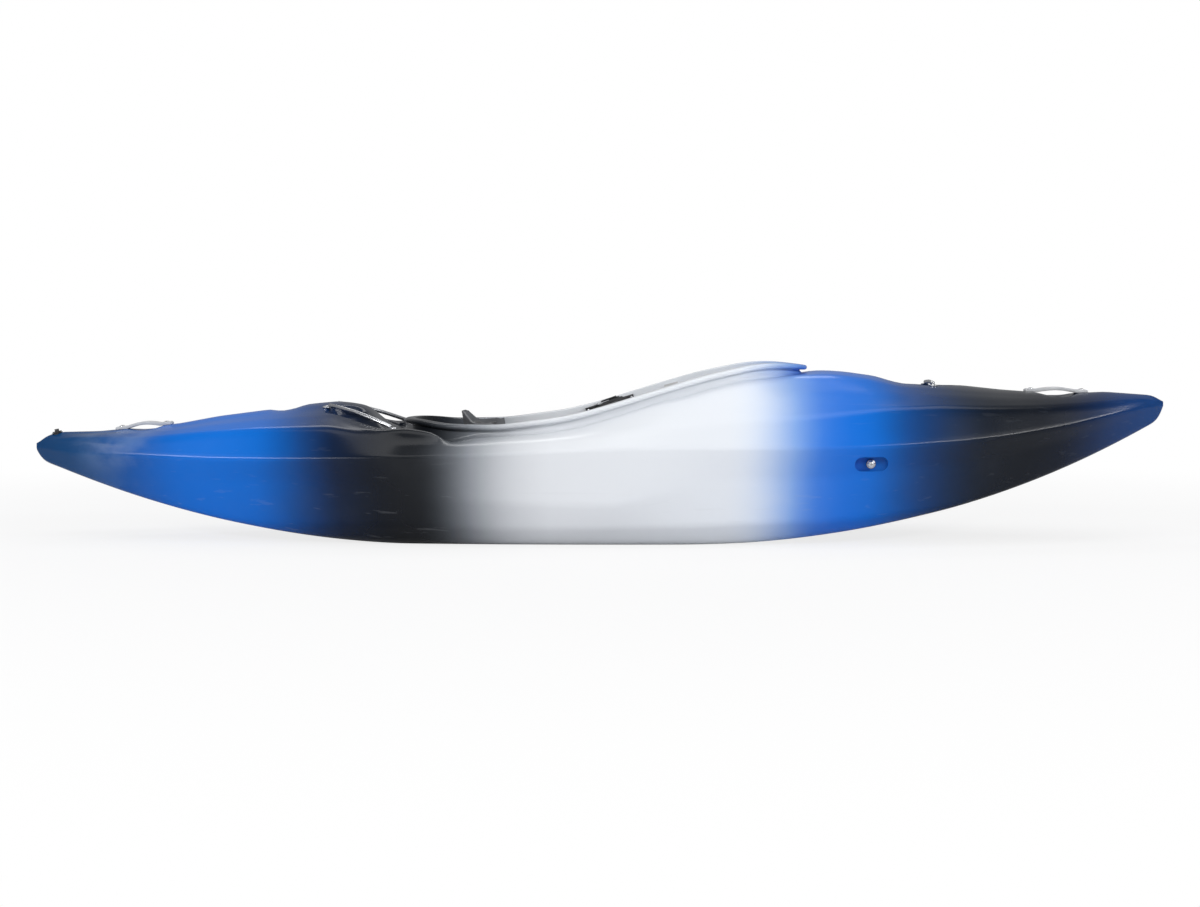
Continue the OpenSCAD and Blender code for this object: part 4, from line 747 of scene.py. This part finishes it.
# A pad is foam under a stretch cover: it swells between its edges and stays flat only where it rests.
# Each is blown up a little by cloth pressure inside its own space, and then smoothed.
def padded(node, material, body, inset=1.6, cap=2.4, voxel=5.0, trim=None):
    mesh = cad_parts[node].data.copy()
    mesh.materials.clear()
    piece = bpy.data.objects.new(node + "_cushion", mesh)
    bpy.context.collection.objects.link(piece)
    bpy.ops.object.select_all(action="DESELECT")
    piece.select_set(True)
    bpy.context.view_layer.objects.active = piece
    shape = bmesh.new()
    shape.from_mesh(mesh)
    bmesh.ops.remove_doubles(shape, verts=shape.verts, dist=0.00002)
    shape.to_mesh(mesh)
    shape.free()
    if trim:
        combine(piece, trim, "DIFFERENCE")
        piece.data.materials.clear()
    remesh = piece.modifiers.new("remesh", "REMESH")
    remesh.mode = "VOXEL"
    remesh.voxel_size = voxel * MM
    bpy.ops.object.modifier_apply(modifier=remesh.name)
    start = np.empty(len(piece.data.vertices) * 3)
    piece.data.vertices.foreach_get("co", start)
    start = start.reshape(-1, 3)
    low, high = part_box(node)
    low = np.array(low)
    high = np.array(high)
    normals = np.array([v.normal[:] for v in piece.data.vertices])
    shrunk = start - normals * inset * MM
    piece.data.vertices.foreach_set("co", shrunk.ravel())
    piece.data.update()
    cloth = piece.modifiers.new("swell", "CLOTH")
    cloth.settings.use_pressure = True
    cloth.settings.uniform_pressure_force = 4
    cloth.settings.quality = 4
    cloth.settings.effector_weights.gravity = 0
    cloth.point_cache.frame_start = 1
    cloth.point_cache.frame_end = 20
    for step in range(1, 21):
        bpy.context.scene.frame_set(step)
    bpy.ops.object.modifier_apply(modifier=cloth.name)
    bpy.context.scene.frame_set(1)
    swollen = np.empty(start.size)
    piece.data.vertices.foreach_get("co", swollen)
    move = swollen.reshape(-1, 3) - shrunk
    far = np.linalg.norm(move, axis=1, keepdims=True)
    move *= np.minimum(1, cap * MM / np.maximum(far, 1e-9))
    points = np.clip(shrunk + move, low, high)
    piece.data.vertices.foreach_set("co", points.ravel())
    piece.data.update()
    even = piece.modifiers.new("even", "SMOOTH")
    even.factor = 0.5
    even.iterations = 4
    bpy.ops.object.modifier_apply(modifier=even.name)
    rounder = piece.modifiers.new("rounder", "SUBSURF")
    rounder.levels = 1
    rounder.render_levels = 1
    bpy.ops.object.modifier_apply(modifier=rounder.name)
    bpy.ops.object.shade_smooth()
    piece.data.materials.append(material)
    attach(piece, body)
    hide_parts(node)
    return piece


cover = finish("pad_cover", (0.022, 0.022, 0.025), (0.042, 0.042, 0.046), (0.7, 0.92), patch=70, grain=1400,
               bump=0.5, depth=0.0008)
cover.node_tree.nodes["Principled BSDF"].inputs["Sheen Weight"].default_value = 0.3
padded("foot_plate_pad", foam, "footbrace", inset=1.0, cap=1.0)

# Seat: a moulded pan with raised hip flanks, on a slotted track, locked by one knob in front.
# A pad lies in the pan and a hip pad stands at each side.
refined("seat_track", moulded_black, "hull", bevel=0.8)
refined("seat_pan", moulded_black, "seat", bevel=1.0, segments=2, smooth=45)
refined("seat_lock_knob", black_nylon, "seat_lock_knob", bevel=0.6)
padded("seat_pad", cover, "seat", inset=1.4, cap=2.0)
for side in ("right", "left"):
    padded("hip_pad_" + side, cover, "seat", inset=2.0, cap=3.0)

# Thigh braces: bent plates under the front of the rim, on pale brackets bolted to the riser.
# The thighs press up on the pad that is stuck to each plate.
bracket_white = finish("bracket_plastic", (0.58, 0.58, 0.58), (0.5, 0.5, 0.51), (0.34, 0.5), patch=40,
                       grain=900, bump=0.1)
refined("thigh_brackets", bracket_white, "hull", bevel=0.8)
refined("thigh_bracket_bolts", stainless, "hull", bevel=0.3)
for side in ("right", "left"):
    refined("thigh_brace_" + side, moulded_black, "thigh_brace_" + side, bevel=1.4,
            segments=3, smooth=45)
    padded("thigh_pad_" + side, cover, "thigh_brace_" + side, inset=1.2, cap=1.8)

# Backband: a curved plate with a thick pad, drawn forward by two ladder straps.
# The straps are riveted to its wings and run through the ratchets on the riser.
band_place = (-318, 0, 289)
band_lean = math.radians(10)
band_dip = [(0, 0), (36, 0), (58, -4), (76, -14), (95, -26), (112, -31), (135, -33), (160, -36), (260, -40)]


def above_band(drop):
    """What lies over the backband's top edge, as a closed shape: (across, height) drawn out fore and aft."""
    edge = [(-y, z) for y, z in band_dip[:0:-1]] + band_dip
    outline = [(y, z - drop) for y, z in edge] + [(260, 60), (-260, 60)]
    count = len(outline)
    points = []
    for x in (-80, 200):
        for y, z in outline:
            points.append(((band_place[0] + x * math.cos(band_lean) - z * math.sin(band_lean)) * MM, y * MM,
                           (band_place[2] + x * math.sin(band_lean) + z * math.cos(band_lean)) * MM))
    mesh = bpy.data.meshes.new("above_band")
    mesh.from_pydata(points, [], [tuple(range(count)), tuple(range(2 * count - 1, count - 1, -1))]
                     + [(i, i + count, (i + 1) % count + count, (i + 1) % count) for i in range(count)])
    shape = bmesh.new()
    shape.from_mesh(mesh)
    bmesh.ops.recalc_face_normals(shape, faces=shape.faces)
    shape.to_mesh(mesh)
    shape.free()
    piece = bpy.data.objects.new("above_band", mesh)
    bpy.context.collection.objects.link(piece)
    return piece


grey_plastic = finish("backband_plastic", (0.12, 0.125, 0.135), (0.09, 0.093, 0.1), (0.34, 0.5), patch=22,
                      grain=760, bump=0.2, depth=0.0004)
refined("backband_shell", grey_plastic, "backband", bevel=1.0, segments=3,
        trim=above_band(0))
padded("backband_pad", cover, "backband", inset=1.8, cap=2.8, trim=above_band(6))
refined("strap_rivets", stainless, "backband", bevel=0.25)
for side in ("right", "left"):
    refined("ladder_strap_" + side, black_nylon, "backband", bevel=0.25, segments=1)

# Ratchets: one at each side of the rim, a nylon base with a lifting lever and a sprung pawl.
# The lever winds the strap in tooth by tooth, and the pawl holds it until it is pressed.
for side in ("right", "left"):
    refined("ratchet_base_" + side, black_nylon, "hull", bevel=0.6)
    refined("ratchet_lever_" + side, black_nylon, "ratchet_lever_" + side, bevel=0.8, segments=3)
    refined("ratchet_pawl_" + side, stainless, "ratchet_pawl_" + side, bevel=0.4)
refined("ratchet_screws", stainless, "hull", bevel=0.3)
refined("ratchet_pins", stainless, "hull", bevel=0.2)
refined("ratchet_springs", stainless, "hull", bevel=0)
